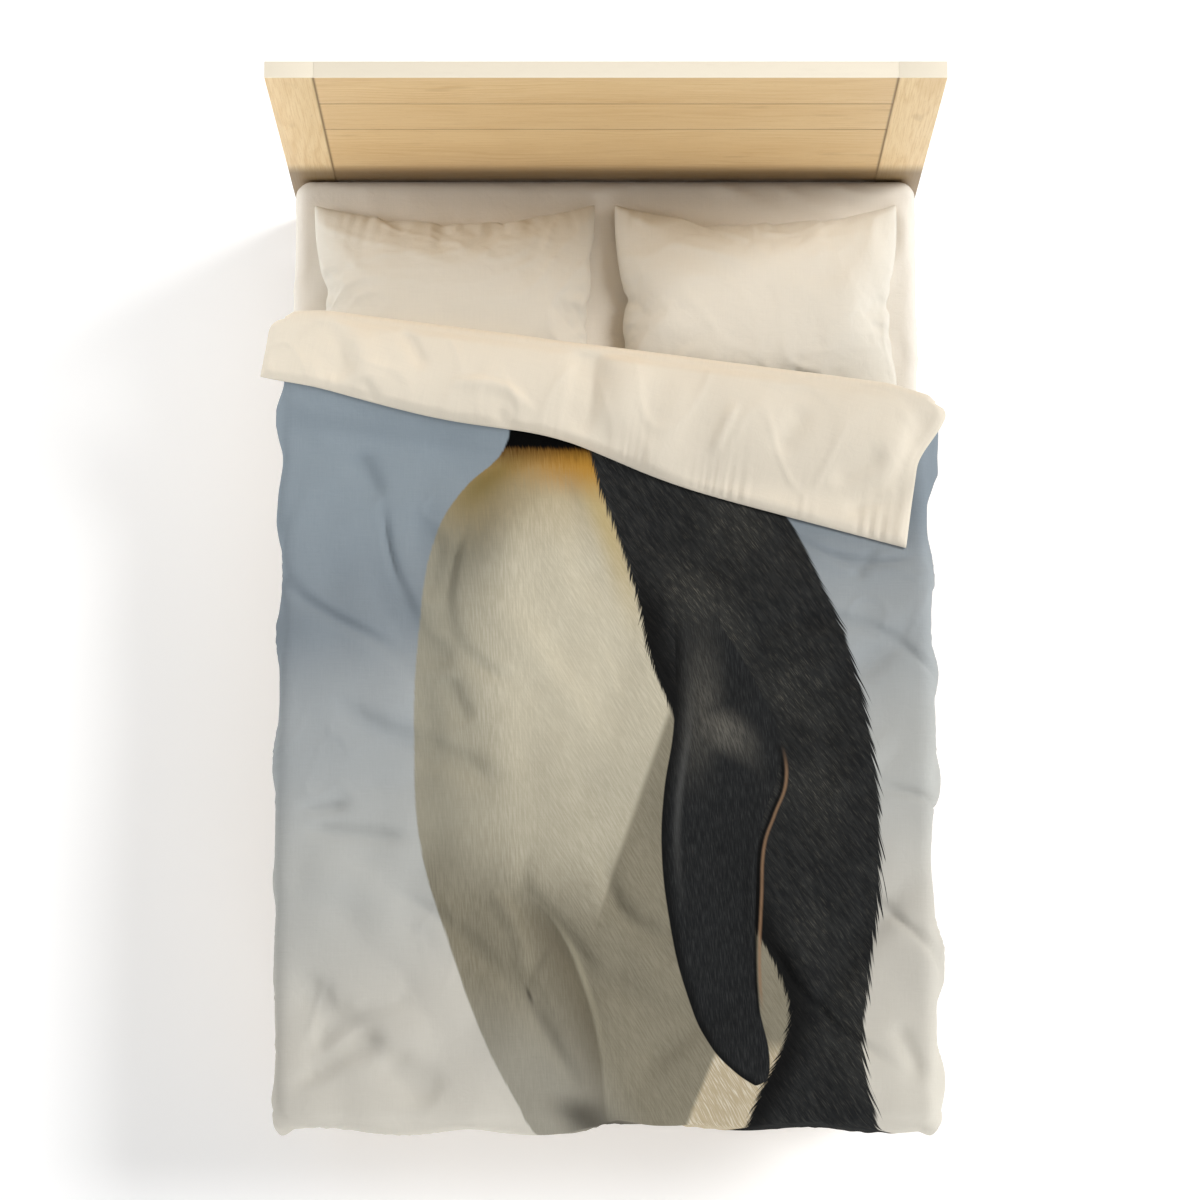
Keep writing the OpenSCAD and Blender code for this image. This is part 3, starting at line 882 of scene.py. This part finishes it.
# Each crease: its line, its width, its height (below 0 for a valley), and its sharpness unless 1
DUVET_CREASES = [
    ([(-0.55, 0.41), (-0.49, 0.29)], 0.019, -0.009, 0.8),
    ([(-0.42, 0.3), (-0.38, 0.16), (-0.39, 0.06)], 0.029, -0.008),
    ([(-0.5, 0.14), (-0.41, -0.01), (-0.32, -0.07)], 0.017, -0.01, 0.6),
    ([(-0.35, -0.09), (-0.295, -0.2)], 0.014, -0.008, 0.8),
    ([(-0.62, -0.14), (-0.48, -0.215), (-0.31, -0.285), (-0.2, -0.355)], 0.019, -0.01, 0.7),
    ([(-0.68, -0.39), (-0.55, -0.375)], 0.01, -0.006),
    ([(-0.68, -0.43), (-0.55, -0.435), (-0.4, -0.45)], 0.012, -0.008, 0.8),
    ([(-0.53, -0.62), (-0.42, -0.72), (-0.29, -0.86)], 0.032, 0.01),
    ([(-0.66, -0.96), (-0.57, -0.84), (-0.42, -0.8)], 0.019, -0.009, 0.9),
    ([(-0.69, -1.0), (-0.47, -0.86)], 0.016, -0.008),
    ([(-0.48, -0.91), (-0.36, -1.02)], 0.029, -0.01),
    ([(-0.7, -0.6), (-0.58, -0.69), (-0.48, -0.83), (-0.36, -0.92)], 0.036, 0.014, 0.6),
    ([(-0.7, -0.72), (-0.57, -0.83), (-0.44, -0.96)], 0.028, -0.012, 0.7),
    ([(-0.66, -0.5), (-0.54, -0.56), (-0.44, -0.66)], 0.03, 0.01, 0.7),
    ([(-0.27, -0.54), (-0.16, -0.6), (-0.07, -0.7), (-0.02, -0.88)], 0.02, -0.009, 1.5),
    ([(-0.25, -0.54), (-0.19, -0.66), (-0.17, -0.76)], 0.012, 0.006),
    ([(-0.17, -0.8), (-0.1, -0.92), (-0.05, -1.0)], 0.014, -0.006),
    ([(-0.03, -0.55), (0.18, -0.74)], 0.024, -0.007),
    ([(-0.28, 0.1), (-0.15, -0.05), (0.0, -0.27)], 0.024, 0.007),
    ([(0.05, 0.3), (0.16, 0.16), (0.3, 0.1)], 0.026, -0.006),
    ([(0.49, 0.33), (0.62, 0.27)], 0.013, -0.006),
    ([(0.6, 0.2), (0.54, 0.12)], 0.01, -0.006),
    ([(0.69, 0.04), (0.58, -0.06), (0.44, -0.14)], 0.024, -0.008),
    ([(0.66, -0.2), (0.54, -0.3), (0.46, -0.42)], 0.02, 0.007),
    ([(0.69, -0.52), (0.54, -0.68), (0.43, -0.9)], 0.026, -0.009),
    ([(0.05, -0.99), (0.16, -0.88), (0.3, -0.8)], 0.023, -0.008),
    ([(0.62, -0.84), (0.69, -0.98)], 0.016, -0.007),
]
def limited(height):
    """Heights held softly between the deepest valley and the tallest ridge."""
    return np.where(height < 0, DEEPEST * np.tanh(height / DEEPEST), TALLEST * np.tanh(height / TALLEST))


def duvet_relief(x, y):
    """Wrinkles of the duvet's top, calmed where the turned-back end lies on it."""
    puff = relief(x, y, 0.2, 3) * 0.0032 + relief(x * 1.2, y, 0.085, 4) * 0.0012
    broad = ridges(x * 0.8 + y * 0.3, y * 0.8, 0.18, 11, 0.3) * eased(relief(x, y, 0.35, 6), -1.0, 1.2)
    fine = ridges(x, y * 0.6, 0.06, 21, 0.3) * eased(relief(x, y, 0.22, 9), 0.0, 1.6)
    total = creased(puff - broad * 0.01 + fine * 0.0022, x, y, DUVET_CREASES, CREASE_GAIN, CREASE_GAIN)
    place, distance = fold_places(x, y)
    uncovered = eased(distance - flap_hem(place), 0.0, 0.055)
    return limited(LOFT + total * RELIEF_GAIN) * (0.1 + 0.9 * uncovered)


def flap_hem(place):
    """Distance of the turned-back end's hem from the fold."""
    return FLAP_LENGTH - 0.006 + FLAP_SLOPE * place - 0.03 * hump(place + 0.08, 0.2)


# ---------- soft pieces ----------

def make_duvet(printed, cream):
    """The duvet from its foot hem up to the fold: cloth that runs over the bed's edges."""
    step = 0.0075
    flat_half = DUVET_HALF - EDGE_RADIUS
    foot_edge = DUVET_FOOT + EDGE_RADIUS
    bend = EDGE_RADIUS * math.pi / 2
    side_reach = bend + SIDE_DROP + BED_CLEARANCE + DUVET_THICK - EDGE_RADIUS
    foot_reach = bend + FOOT_DROP + BED_CLEARANCE + DUVET_THICK - EDGE_RADIUS
    cloth_half = flat_half + side_reach
    across = np.linspace(-cloth_half, cloth_half, int(2 * cloth_half / step))
    hanging = np.linspace(foot_reach, 0, int(foot_reach / step), endpoint=False)
    lying = np.linspace(0, 1, int(1.65 / step))
    plan_x = np.clip(across, -flat_half, flat_half)
    cut = DUVET_THICK + HINGE_GAP + tucked(plan_x / ALONG_FOLD.x)
    head_line = HINGE.y - (plan_x * FLAP_SLOPE) - cut / ALONG_FOLD.x
    u = np.vstack([across] * (len(hanging) + len(lying)))
    v = np.vstack([
        foot_edge - hanging[:, None] + across * 0,
        foot_edge + lying[:, None] * (head_line - foot_edge),
    ])
    past_side = np.maximum(np.abs(u) - flat_half, 0)
    past_foot = np.maximum(foot_edge - v, 0)
    past = np.hypot(past_side, past_foot)
    out, drop, lean = turned_edge(past, EDGE_RADIUS)
    toward_side = past_side / np.maximum(past, 1e-9) * np.sign(u)
    toward_foot = past_foot / np.maximum(past, 1e-9)
    corner = np.abs(toward_side * toward_foot) * 2
    hang = eased(drop, 0.01, 0.05)
    sway = relief(v * np.sign(u), np.sign(u), 0.13, 31) * 0.011 + 0.007
    sway = np.clip(sway, 0, 0.024) * hang
    out = out + sway * np.abs(toward_side) + 0.011 * corner * hang
    swell = relief(u, u * 0, 0.2, 33) * 0.01 + 0.006
    swell = np.clip(swell, -0.003, 0.024) * hang * toward_foot
    x = np.clip(u, -flat_half, flat_half) + toward_side * out
    y = np.maximum(v, foot_edge) - toward_foot * out
    side_inward = cloth_half - np.abs(u)
    foot_inward = v - v.min()
    top = lie_height(np.clip(x, -DUVET_HALF, DUVET_HALF), y)
    rise = duvet_relief(u, v) * (1 - 0.5 * hang)
    rise = rise + puckers(v, side_inward, 0.03, 0.03, 0.0018, 41)
    rise = rise + puckers(u, foot_inward, 0.032, 0.03, 0.0016, 42)
    rise = rise + swell
    normal = stacked(toward_side * np.sin(lean), -toward_foot * np.sin(lean), np.cos(lean))
    outer = stacked(x, y, top - drop) + normal * rise[..., None]
    fullness, thick = hemmed(np.minimum(side_inward, foot_inward))
    inner = outer - normal * (thick + rise * fullness)[..., None]
    piece = closed_sheet("duvet", outer, inner, stacked(u, v), [printed, cream], 1)
    stand_in(piece, "duvet", "print", "duvet_under_panel", "duvet_filling", "duvet_printed_panel")


FLAP_CREASES = [
    ([(-0.66, 0.02), (-0.6, 0.07), (-0.55, 0.13)], 0.03, -0.015),
    ([(-0.55, 0.01), (-0.52, 0.08), (-0.49, 0.16)], 0.024, 0.008),
    ([(-0.45, 0.0), (-0.38, 0.09)], 0.016, -0.006, 1.4),
    ([(-0.34, 0.11), (-0.22, 0.1), (-0.13, 0.15)], 0.013, 0.005, 1.5),
    ([(-0.52, 0.12), (-0.48, 0.17)], 0.011, -0.005),
    ([(-0.22, 0.15), (-0.17, 0.2)], 0.011, -0.004),
    ([(-0.04, -0.04), (-0.03, 0.08), (-0.04, 0.19)], 0.03, -0.015, 1.3),
    ([(0.05, -0.03), (0.05, 0.08), (0.03, 0.18)], 0.036, 0.008),
    ([(0.3, 0.07), (0.26, 0.19)], 0.012, 0.005, 1.4),
    ([(0.19, 0.03), (0.15, 0.17), (0.1, 0.22)], 0.03, 0.006),
    ([(0.45, 0.06), (0.4, 0.17)], 0.02, -0.005),
    ([(0.71, 0.02), (0.69, 0.13), (0.65, 0.26)], 0.02, -0.009, 0.8),
    ([(0.52, 0.21), (0.64, 0.13)], 0.018, -0.006),
    ([(0.56, 0.27), (0.66, 0.21)], 0.014, -0.005),
]
FLAP_LOFT = 0.004
FLAP_GAIN = 1.5
FLAP_WIDER = 1.2
FLAP_HIGHER = 1.3
FLAP_LEFT = -0.735
FLAP_RIGHT = 0.757
FLAP_CORNER = 0.03
FOLD_RADIUS = 0.0004


def flap_relief(place, distance, inward):
    """Wrinkles of the turned-back end."""
    total = relief(place, distance, 0.13, 61) * 0.0022
    total = total + ridges(place, distance * 0.5, 0.09, 65, 0.3) * 0.002
    total = creased(total, place, distance, FLAP_CREASES, FLAP_WIDER, FLAP_HIGHER)
    right = 0.35 + 0.65 * eased(place, -0.05, 0.15)
    total = total + puckers(place, inward, 0.026, 0.04, 0.0042, 71) * right
    return limited(FLAP_LOFT + total * FLAP_GAIN) * eased(inward + 0.01, 0.0, 0.03)


def make_flap(printed, cream):
    """The duvet's head end, turned back: its cloth rounds the fold and lies on the duvet."""
    step = 0.0065
    turns = np.radians(np.linspace(270, 96, 14))
    lying = np.linspace(0, 1, int(0.3 / step))
    share = np.linspace(0, 1, int(1.5 / step))
    rows = len(turns) + len(lying)
    longest = np.concatenate([np.zeros(len(turns)), lying])[:, None] + share * 0
    # The distance from the fold needs the place along it, so it starts from a first guess
    distance = longest * flap_hem(-0.73 + share * 1.48)
    turn_in = 1 - np.clip(distance / FLAP_CORNER, 0, 1)
    corner = FLAP_CORNER * (1 - np.sqrt(1 - turn_in ** 2))
    left = FLAP_LEFT - 0.08 * distance + corner
    right = FLAP_RIGHT - 0.05 * eased(distance, 0.0, 0.16) - corner
    place = left + (right - left) * share
    distance = longest * flap_hem(place)
    hem_inward = flap_hem(place) - distance
    fullness, thick = hemmed(np.minimum(np.minimum(place - left, right - place), hem_inward))
    angle = np.concatenate([turns, np.full(len(lying), math.pi / 2)])[:, None]
    calm = eased(distance, 0.0, 0.02)
    x, y = from_fold(place, distance + tucked(place) * (1 - eased(distance, 0.0, 0.2)))
    rest = lie_height(x, y) + HINGE_GAP + 0.0012 * calm
    turned = flap_relief(place, distance, hem_inward) * calm
    slack = (relief(place, distance, 0.1, 77) * 0.0003 - 0.0004) * (1 - calm)

    def around(radius, lift):
        reach = np.cos(angle) * radius
        height = rest + np.sin(angle) * radius + lift
        return stacked(x + reach * FROM_FOLD.x, y + reach * FROM_FOLD.y, height)

    outer = around(thick + slack + turned, 0)
    inner = around(FOLD_RADIUS, np.maximum(turned, 0) * (1 - fullness))
    cloth = stacked(*from_fold(place, -distance))
    piece = closed_sheet("duvet_turned_back_end", outer, inner, cloth, [cream, printed], 1)
    first_side = 2 * (rows - 1) * (share.size - 1)
    for face in range(first_side, first_side + share.size - 1):
        piece.data.polygons[face].material_index = 1
    stand_in(
        piece, "turned_back_end", "cream_cloth", "flap_printed_panel", "flap_filling", "flap_cream_panel"
    )


MATTRESS_CORNER = 0.036
SHEET_BEND = 0.026


def rounded_ring(low, high, pulled_in, radius):
    """Places round a box's plan, with its sides pulled in and its corners rounded."""
    middle = (low + high) / 2
    half_w, half_l = [side / 2 - pulled_in - radius for side in (high - low).xy]
    ring = []
    for number, (sx, sy) in enumerate([(1, 1), (-1, 1), (-1, -1), (1, -1)]):
        for turn in np.radians(np.linspace(0, 90, 9) + 90 * number):
            x = middle.x + sx * half_w + radius * math.cos(turn)
            y = middle.y + sy * half_l + radius * math.sin(turn)
            ring.append((x, y))
    return ring


def slab(low, high, top_radius, foot_radius, inset):
    """The points and faces of a closed slab with rounded corners and rounded rims."""
    quarter = np.radians(np.linspace(0, 90, 7))
    shape = [(foot_radius * (1 - math.sin(a)), low.z + foot_radius * (1 - math.cos(a))) for a in quarter]
    shape += [(top_radius * (1 - math.cos(a)), high.z - top_radius * (1 - math.sin(a))) for a in quarter]
    points = []
    for pulled_in, z in shape:
        ring = rounded_ring(low, high, pulled_in, MATTRESS_CORNER - inset - pulled_in)
        points += [(x, y, z) for x, y in ring]
    index = np.arange(len(points)).reshape(len(shape), -1)
    ahead = np.roll(index, -1, axis=1)
    sides = stacked(index[:-1], ahead[:-1], ahead[1:], index[1:]).reshape(-1, 4)
    return points, sides.tolist() + [index[0, ::-1].tolist(), index[-1].tolist()]


def make_mattress_part(node, material, slot, shells):
    """A part of the mattress with a rounded upper rim, as one or two closed shells."""
    points = []
    faces = []
    low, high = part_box(node)
    for inset, top_radius, foot_radius in shells:
        margin = Vector((inset, inset, inset))
        more, sides = slab(low + margin, high - margin, top_radius, foot_radius, inset)
        faces += [[number + len(points) for number in face] for face in sides]
        points += more
    piece = new_piece(node + "_finished", points, faces, [material])
    piece.data.set_sharp_from_angle(angle=math.radians(50))
    stand_in(piece, "bed", slot, node)


SHEET_CREASES = [
    ([(0.38, 1.02), (0.44, 0.97), (0.56, 0.93)], 0.014, 0.007, 1.5),
    ([(0.5, 1.02), (0.55, 0.985), (0.64, 0.975)], 0.013, 0.006, 1.5),
    ([(0.22, 1.01), (0.33, 0.975), (0.4, 0.93)], 0.014, 0.0055),
    ([(0.6, 1.01), (0.66, 0.93), (0.655, 0.8)], 0.014, 0.005, 1.2),
    ([(0.665, 0.9), (0.65, 0.7), (0.66, 0.52)], 0.014, -0.003),
    ([(-0.655, 0.97), (-0.66, 0.75), (-0.65, 0.55)], 0.014, -0.0025),
    ([(0.0, 1.0), (0.01, 0.86), (-0.005, 0.7)], 0.016, -0.003),
    ([(-0.3, 1.01), (-0.1, 0.985), (0.1, 1.0)], 0.014, 0.002),
]
SHEET_GAIN = 1.5


def make_fitted_sheet(material):
    """A sheet stretched over the mattress, from its rounded edges down to the elastic."""
    step = 0.014
    radius = SHEET_BEND + 0.002
    half_w = sheet_high.x - MATTRESS_CORNER
    low_y = sheet_low.y + MATTRESS_CORNER
    high_y = sheet_high.y - MATTRESS_CORNER
    flat_rim = MATTRESS_CORNER - radius
    reach = flat_rim + radius * math.pi / 2 + (SHEET_TOP - sheet_low.z) - radius
    rim = np.linspace(0, reach, 30)[1:]

    def ruled(low, high):
        top = np.linspace(low, high, int((high - low) / step))
        return np.concatenate([low - rim[::-1], top, high + rim])

    u, v = np.meshgrid(ruled(-half_w, half_w), ruled(low_y, high_y))
    past_x = np.maximum(np.abs(u) - half_w, 0)
    past_y = np.maximum(low_y - v, 0) + np.maximum(v - high_y, 0)
    past = np.maximum(past_x, past_y)
    share = np.minimum(past_x, past_y) / np.maximum(past, 1e-9) * math.pi / 4
    heading = np.where(past_x >= past_y, share, math.pi / 2 - share)
    out, drop, lean = turned_edge(np.maximum(past - flat_rim, 0), radius)
    out = out + np.minimum(past, flat_rim)
    side = np.cos(heading) * np.sign(u) * (past > 0)
    end = np.sin(heading) * np.sign(v - (low_y + high_y) / 2) * (past > 0)
    hang = eased(drop, 0.0, 0.05)
    rumple = relief(u, v, 0.11, 81) * 0.0012 + ridges(u * 1.3, v, 0.1, 83, 0.25) * 0.0016
    rumple = creased(rumple, u, v, SHEET_CREASES)
    corner = 4 * np.abs(side * end) ** 2
    rumple = rumple + corner * hang * 0.0025 * np.cos(heading * 46)
    rumple = rumple + puckers(u + v, reach - past, 0.016, 0.035, 0.0016, 85) * hang
    rumple = np.maximum(rumple * SHEET_GAIN + 0.0005, 0) * (1 - eased(v, 1.0, 1.03) * 0.8)
    rumple = np.where(v < 0.6, np.minimum(rumple, 0.0008), rumple)
    normal = stacked(side * np.sin(lean), end * np.sin(lean), np.cos(lean))
    x = np.clip(u, -half_w, half_w) + side * out
    y = np.clip(v, low_y, high_y) + end * out
    outer = stacked(x, y, SHEET_TOP - drop) + normal * rumple[..., None]
    piece = closed_sheet("fitted_sheet_cloth", outer, outer - normal * 0.001, stacked(u, v), [material])
    stand_in(piece, "bed", "sheet", "fitted_sheet")


def make_elastic_rim(material):
    """The gathered band round the bottom of the fitted sheet."""
    ring = rounded_ring(rim_low, rim_high, 0, MATTRESS_CORNER)
    line = np.array(ring + ring[:1])
    length = np.concatenate([[0], np.cumsum(np.hypot(*np.diff(line, axis=0).T))])
    count = 1500
    place = np.linspace(0, length[-1], count, endpoint=False)
    x = np.interp(place, length, line[:, 0])
    y = np.interp(place, length, line[:, 1])
    out = stacked(np.roll(y, -1) - np.roll(y, 1), np.roll(x, 1) - np.roll(x, -1))
    out = out / np.linalg.norm(out, axis=1)[:, None]
    gather = np.cos(place * math.tau / 0.011) * 0.0009
    middle = (rim_low.z + rim_high.z) / 2
    half_h = (rim_high.z - rim_low.z) / 2 - 0.0003
    sections = 8
    rings = []
    for turn in np.linspace(0, math.tau, sections, endpoint=False):
        depth = -0.0022 + 0.0011 * math.cos(turn) + gather * 0.6
        rings.append(stacked(x + out[:, 0] * depth, y + out[:, 1] * depth, middle + half_h * math.sin(turn)))
    points = np.stack(rings, 1).reshape(-1, 3)
    index = np.arange(count * sections).reshape(count, sections)
    ahead = np.roll(index, -1, axis=0)
    faces = stacked(index, ahead, np.roll(ahead, -1, axis=1), np.roll(index, -1, axis=1)).reshape(-1, 4)
    piece = new_piece("fitted_sheet_elastic_rim", points.tolist(), faces.tolist(), [material])
    face_outwards(piece)
    stand_in(piece, "bed", "sheet", "sheet_elastic")


PILLOW_CUT = (0.665, 0.5)
SIDE_BOW = 0.02
END_BOW = 0.034
SIMULATED = 0.45
SEAM_HEIGHT = 0.0243
INFLATING_FRAMES = 20
CLOTH_SETTINGS = {
    "quality": 6, "mass": 0.25, "tension_stiffness": 25, "compression_stiffness": 25,
    "shear_stiffness": 12, "bending_stiffness": 0.25, "use_pressure": True,
    "uniform_pressure_force": 4.0,
}


def flat_pillow(name, seed):
    """Two flat panels sewn together along their edges, a little apart in the middle."""
    width, length = PILLOW_CUT
    columns, rows = 76, 58
    u, v = np.meshgrid(np.linspace(-1, 1, columns), np.linspace(-1, 1, rows))
    inside = (np.abs(u) < 1) & (np.abs(v) < 1)
    part = (1 - u ** 4) * (1 - v ** 4)
    apart = 0.01 * part + 0.0012 * relief(u, v, 0.18, seed) * part
    x = u * (width / 2 + SIDE_BOW * (1 - v ** 2))
    y = v * (length / 2 + END_BOW * (1 - u ** 2))
    upper = np.arange(rows * columns).reshape(rows, columns)
    lower = upper.copy()
    lower[inside] = rows * columns + np.arange(inside.sum())
    points = np.vstack([stacked(x, y, apart).reshape(-1, 3), stacked(x, y, -apart)[inside]])
    faces = np.vstack([quads_of(upper), quads_of(lower)[:, ::-1]])
    piece = new_piece(name, points.tolist(), faces.tolist(), cloth=points[:, :2])
    return piece, [np.concatenate([share.ravel(), share[inside]]) for share in (u, v)]


def inflate(piece):
    """Blows the sewn panels up by cloth simulation, and keeps the result."""
    cloth = piece.modifiers.new("cloth", "CLOTH")
    for name, value in CLOTH_SETTINGS.items():
        setattr(cloth.settings, name, value)
    cloth.settings.effector_weights.gravity = 0
    cloth.point_cache.frame_start = 1
    cloth.point_cache.frame_end = INFLATING_FRAMES
    for frame_number in range(1, INFLATING_FRAMES + 1):
        bpy.context.scene.frame_set(frame_number)
    apply_modifiers(piece)
    bpy.context.scene.frame_set(1)


def points_of(piece):
    places = np.zeros(len(piece.data.vertices) * 3, np.float32)
    piece.data.vertices.foreach_get("co", places)
    return places.reshape(-1, 3).astype(float)


def make_pillow(side, material, seed):
    """A pillow in its case, blown up from flat and set down where the CAD pillow lies."""
    low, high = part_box("pillow_case_" + side)
    piece, (u, v) = flat_pillow("pillow_" + side, seed)
    flat = points_of(piece)
    inflate(piece)
    places = points_of(piece)
    middle = (low + high) / 2
    seam_z = SHEET_TOP + SEAM_HEIGHT
    crown = high.z - seam_z
    belly_depth = seam_z - SHEET_TOP - 0.0006
    width, length = PILLOW_CUT
    half_w = (high.x - low.x) / 2 + 0.002
    half_l = (high.y - low.y) / 2 + 0.022
    even = stacked(
        u * (half_w + 0.012 * (1 - np.abs(v) ** 3)),
        v * (half_l - 0.044 * (1 - np.abs(u) ** 4)),
        np.sqrt(np.clip((1 - np.abs(u) ** 2.6) * (1 - np.abs(v) ** 2.4), 0, 1)),
    )
    corner = np.abs(places[0])
    blown = places / (corner[0], corner[1], np.abs(places[:, 2]).max()) * (half_w, half_l, 1)
    blown[:, 2] = np.abs(blown[:, 2])
    x, y, bulge = (blown * SIMULATED + even * (1 - SIMULATED)).T
    upper = np.sign(flat[:, 2])
    z = np.where(upper > 0, crown * bulge, -np.minimum(bulge * 1.8, 1) * belly_depth)
    x = (x if side == "left" else -x) + middle.x
    y = y + middle.y + 0.006
    seam = 1 - np.clip(np.abs(z) / 0.02, 0, 1)
    across = u * width / 2
    along = v * length / 2
    bumps = puckers(across, length / 2 - np.abs(along), 0.036, 0.055, 0.006, seed)
    bumps = bumps + puckers(along, width / 2 - np.abs(across), 0.04, 0.045, 0.0048, seed + 3)
    bumps = bumps + ridges(flat[:, 0], flat[:, 1], 0.12, seed + 5, 0.3) * 0.005
    bumps = bumps + ridges(flat[:, 0] * 0.7, flat[:, 1], 0.045, seed + 9, 0.3) * 0.0014
    bumps = bumps + relief(x, y, 0.06, seed) * 0.0012
    z = z + seam_z + bumps * (1 - seam) * upper
    # Where the duvet lies on the pillow, its top is pressed down under the duvet
    ceiling = under_duvet(x, y) - 0.003
    over = z - ceiling
    z = np.where(over > -0.01, ceiling - 0.01 * np.exp(-np.maximum(over + 0.01, 0) / 0.01), z)
    piece.data.vertices.foreach_set("co", stacked(x, y, z).astype(np.float32).ravel())
    piece.data.update()
    smooth = piece.modifiers.new("finer", "SUBSURF")
    smooth.levels = 1
    smooth.render_levels = 1
    apply_modifiers(piece)
    piece.data.materials.append(material)
    face_outwards(piece)
    stand_in(piece, "bed", "pillow_case", "pillow_case_" + side, "pillow_filling_" + side)


# ---------- assembly ----------

add_camera()
add_daylight(0.29, 1.0)
add_sun("light_left", -92, 20, 0.5, 20)
add_sun("light_foot", 6, 20, 0.85, 40)
add_sun("light_key", 109, 43, 2.22, 22)
head_left = Vector((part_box("mattress_ticking")[0].x, 0.85, SHEET_TOP))
add_lamp("light_head_left", head_left + Vector((-0.7, 0.1, 0.6)), head_left, 0.5, 3.2)
add_floor(40, 0.37)
bpy.context.scene.view_settings.view_transform = "Standard"

middle_board_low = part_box("headboard_middle_board")[0]
stile_joints = [(0, board_low.x), (0, board_high.x)]
board_joints = stile_joints + [(2, board_low.z), (2, middle_board_low.z)]
maple = srgb(226, 199, 153)
birch = srgb(214, 190, 150)
boards_maple = wood("maple_boards", srgb(232, 201, 150), 0, board_joints)
stiles_maple = wood("maple_stiles", srgb(248, 222, 176), 2, stile_joints)
maple_x, maple_y, maple_z = [wood("maple_grain_" + "xyz"[axis], maple, axis) for axis in (0, 1, 2)]
birch_x, birch_y = [wood("birch_grain_" + "xy"[axis], birch, axis) for axis in (0, 1)]
cream = plain_cloth("cream_cotton", srgb(231, 221, 203))
pillow_cotton = plain_cloth("pillow_cotton", srgb(229, 223, 210))
sheet_cotton = plain_cloth("sheet_cotton", srgb(240, 233, 221))
print_cotton = penguin_print()

# Each wooden piece that is rounded: its material, slot, radius and CAD nodes
WOODEN = [
    (boards_maple, "maple", 0.0012, *("headboard_%s_board" % row for row in ("top", "middle", "lower"))),
    (stiles_maple, "maple", 0.0012, "headboard_stile_left", "headboard_stile_right"),
    (maple_x, "maple", 0.0012, "foot_rail", "head_rail"),
    (maple_y, "maple", 0.0015, "side_rail_left", "side_rail_right", "centre_beam"),
    (maple_z, "maple", 0.0012, "foot_leg_left", "foot_leg_right"),
    (birch_x, "birch", 0.002, "slats"),
    (birch_y, "birch", 0.0015, "slat_ledge_left", "slat_ledge_right"),
]
for material, slot, radius, *pieces in WOODEN:
    for node in pieces:
        softened(node, material, slot, radius)
repaint(maple_z, "centre_legs")
repaint(birch_x, "headboard_dowels")

steel = metal("zinc_steel", srgb(196, 198, 200), 0.35)
repaint(steel, "slat_screws", "beam_hangers", "rail_bolts", "barrel_nuts", "leg_bolts")
for node in ("zip_stops", "zip_slider", "zip_pull"):
    repaint(metal(node + "_metal", srgb(188, 184, 176), 0.3), node)
repaint(felt(), "floor_glides")
repaint(plain_cloth("zip_tape_cloth", srgb(232, 220, 202), "Object"), "zip_tapes")
repaint(nylon(), "zip_coil")

softened("mattress_core", foam("spring_core_felt", srgb(212, 210, 204)), "foam", 0.012, 0.004)
yellow_foam = foam("comfort_foam", srgb(240, 228, 176))
make_mattress_part("mattress_comfort_layer", yellow_foam, "foam", [(0.0002, SHEET_BEND - 0.002, 0.001)])
ticking_shells = [(0.0, SHEET_BEND, 0.004), (0.0018, SHEET_BEND - 0.0018, 0.0024)]
make_mattress_part("mattress_ticking", ticking_cloth(), "ticking", ticking_shells)
make_fitted_sheet(sheet_cotton)
make_elastic_rim(sheet_cotton)
make_pillow("left", pillow_cotton, 7)
make_pillow("right", pillow_cotton, 19)
make_duvet(print_cotton, cream)
make_flap(print_cotton, cream)
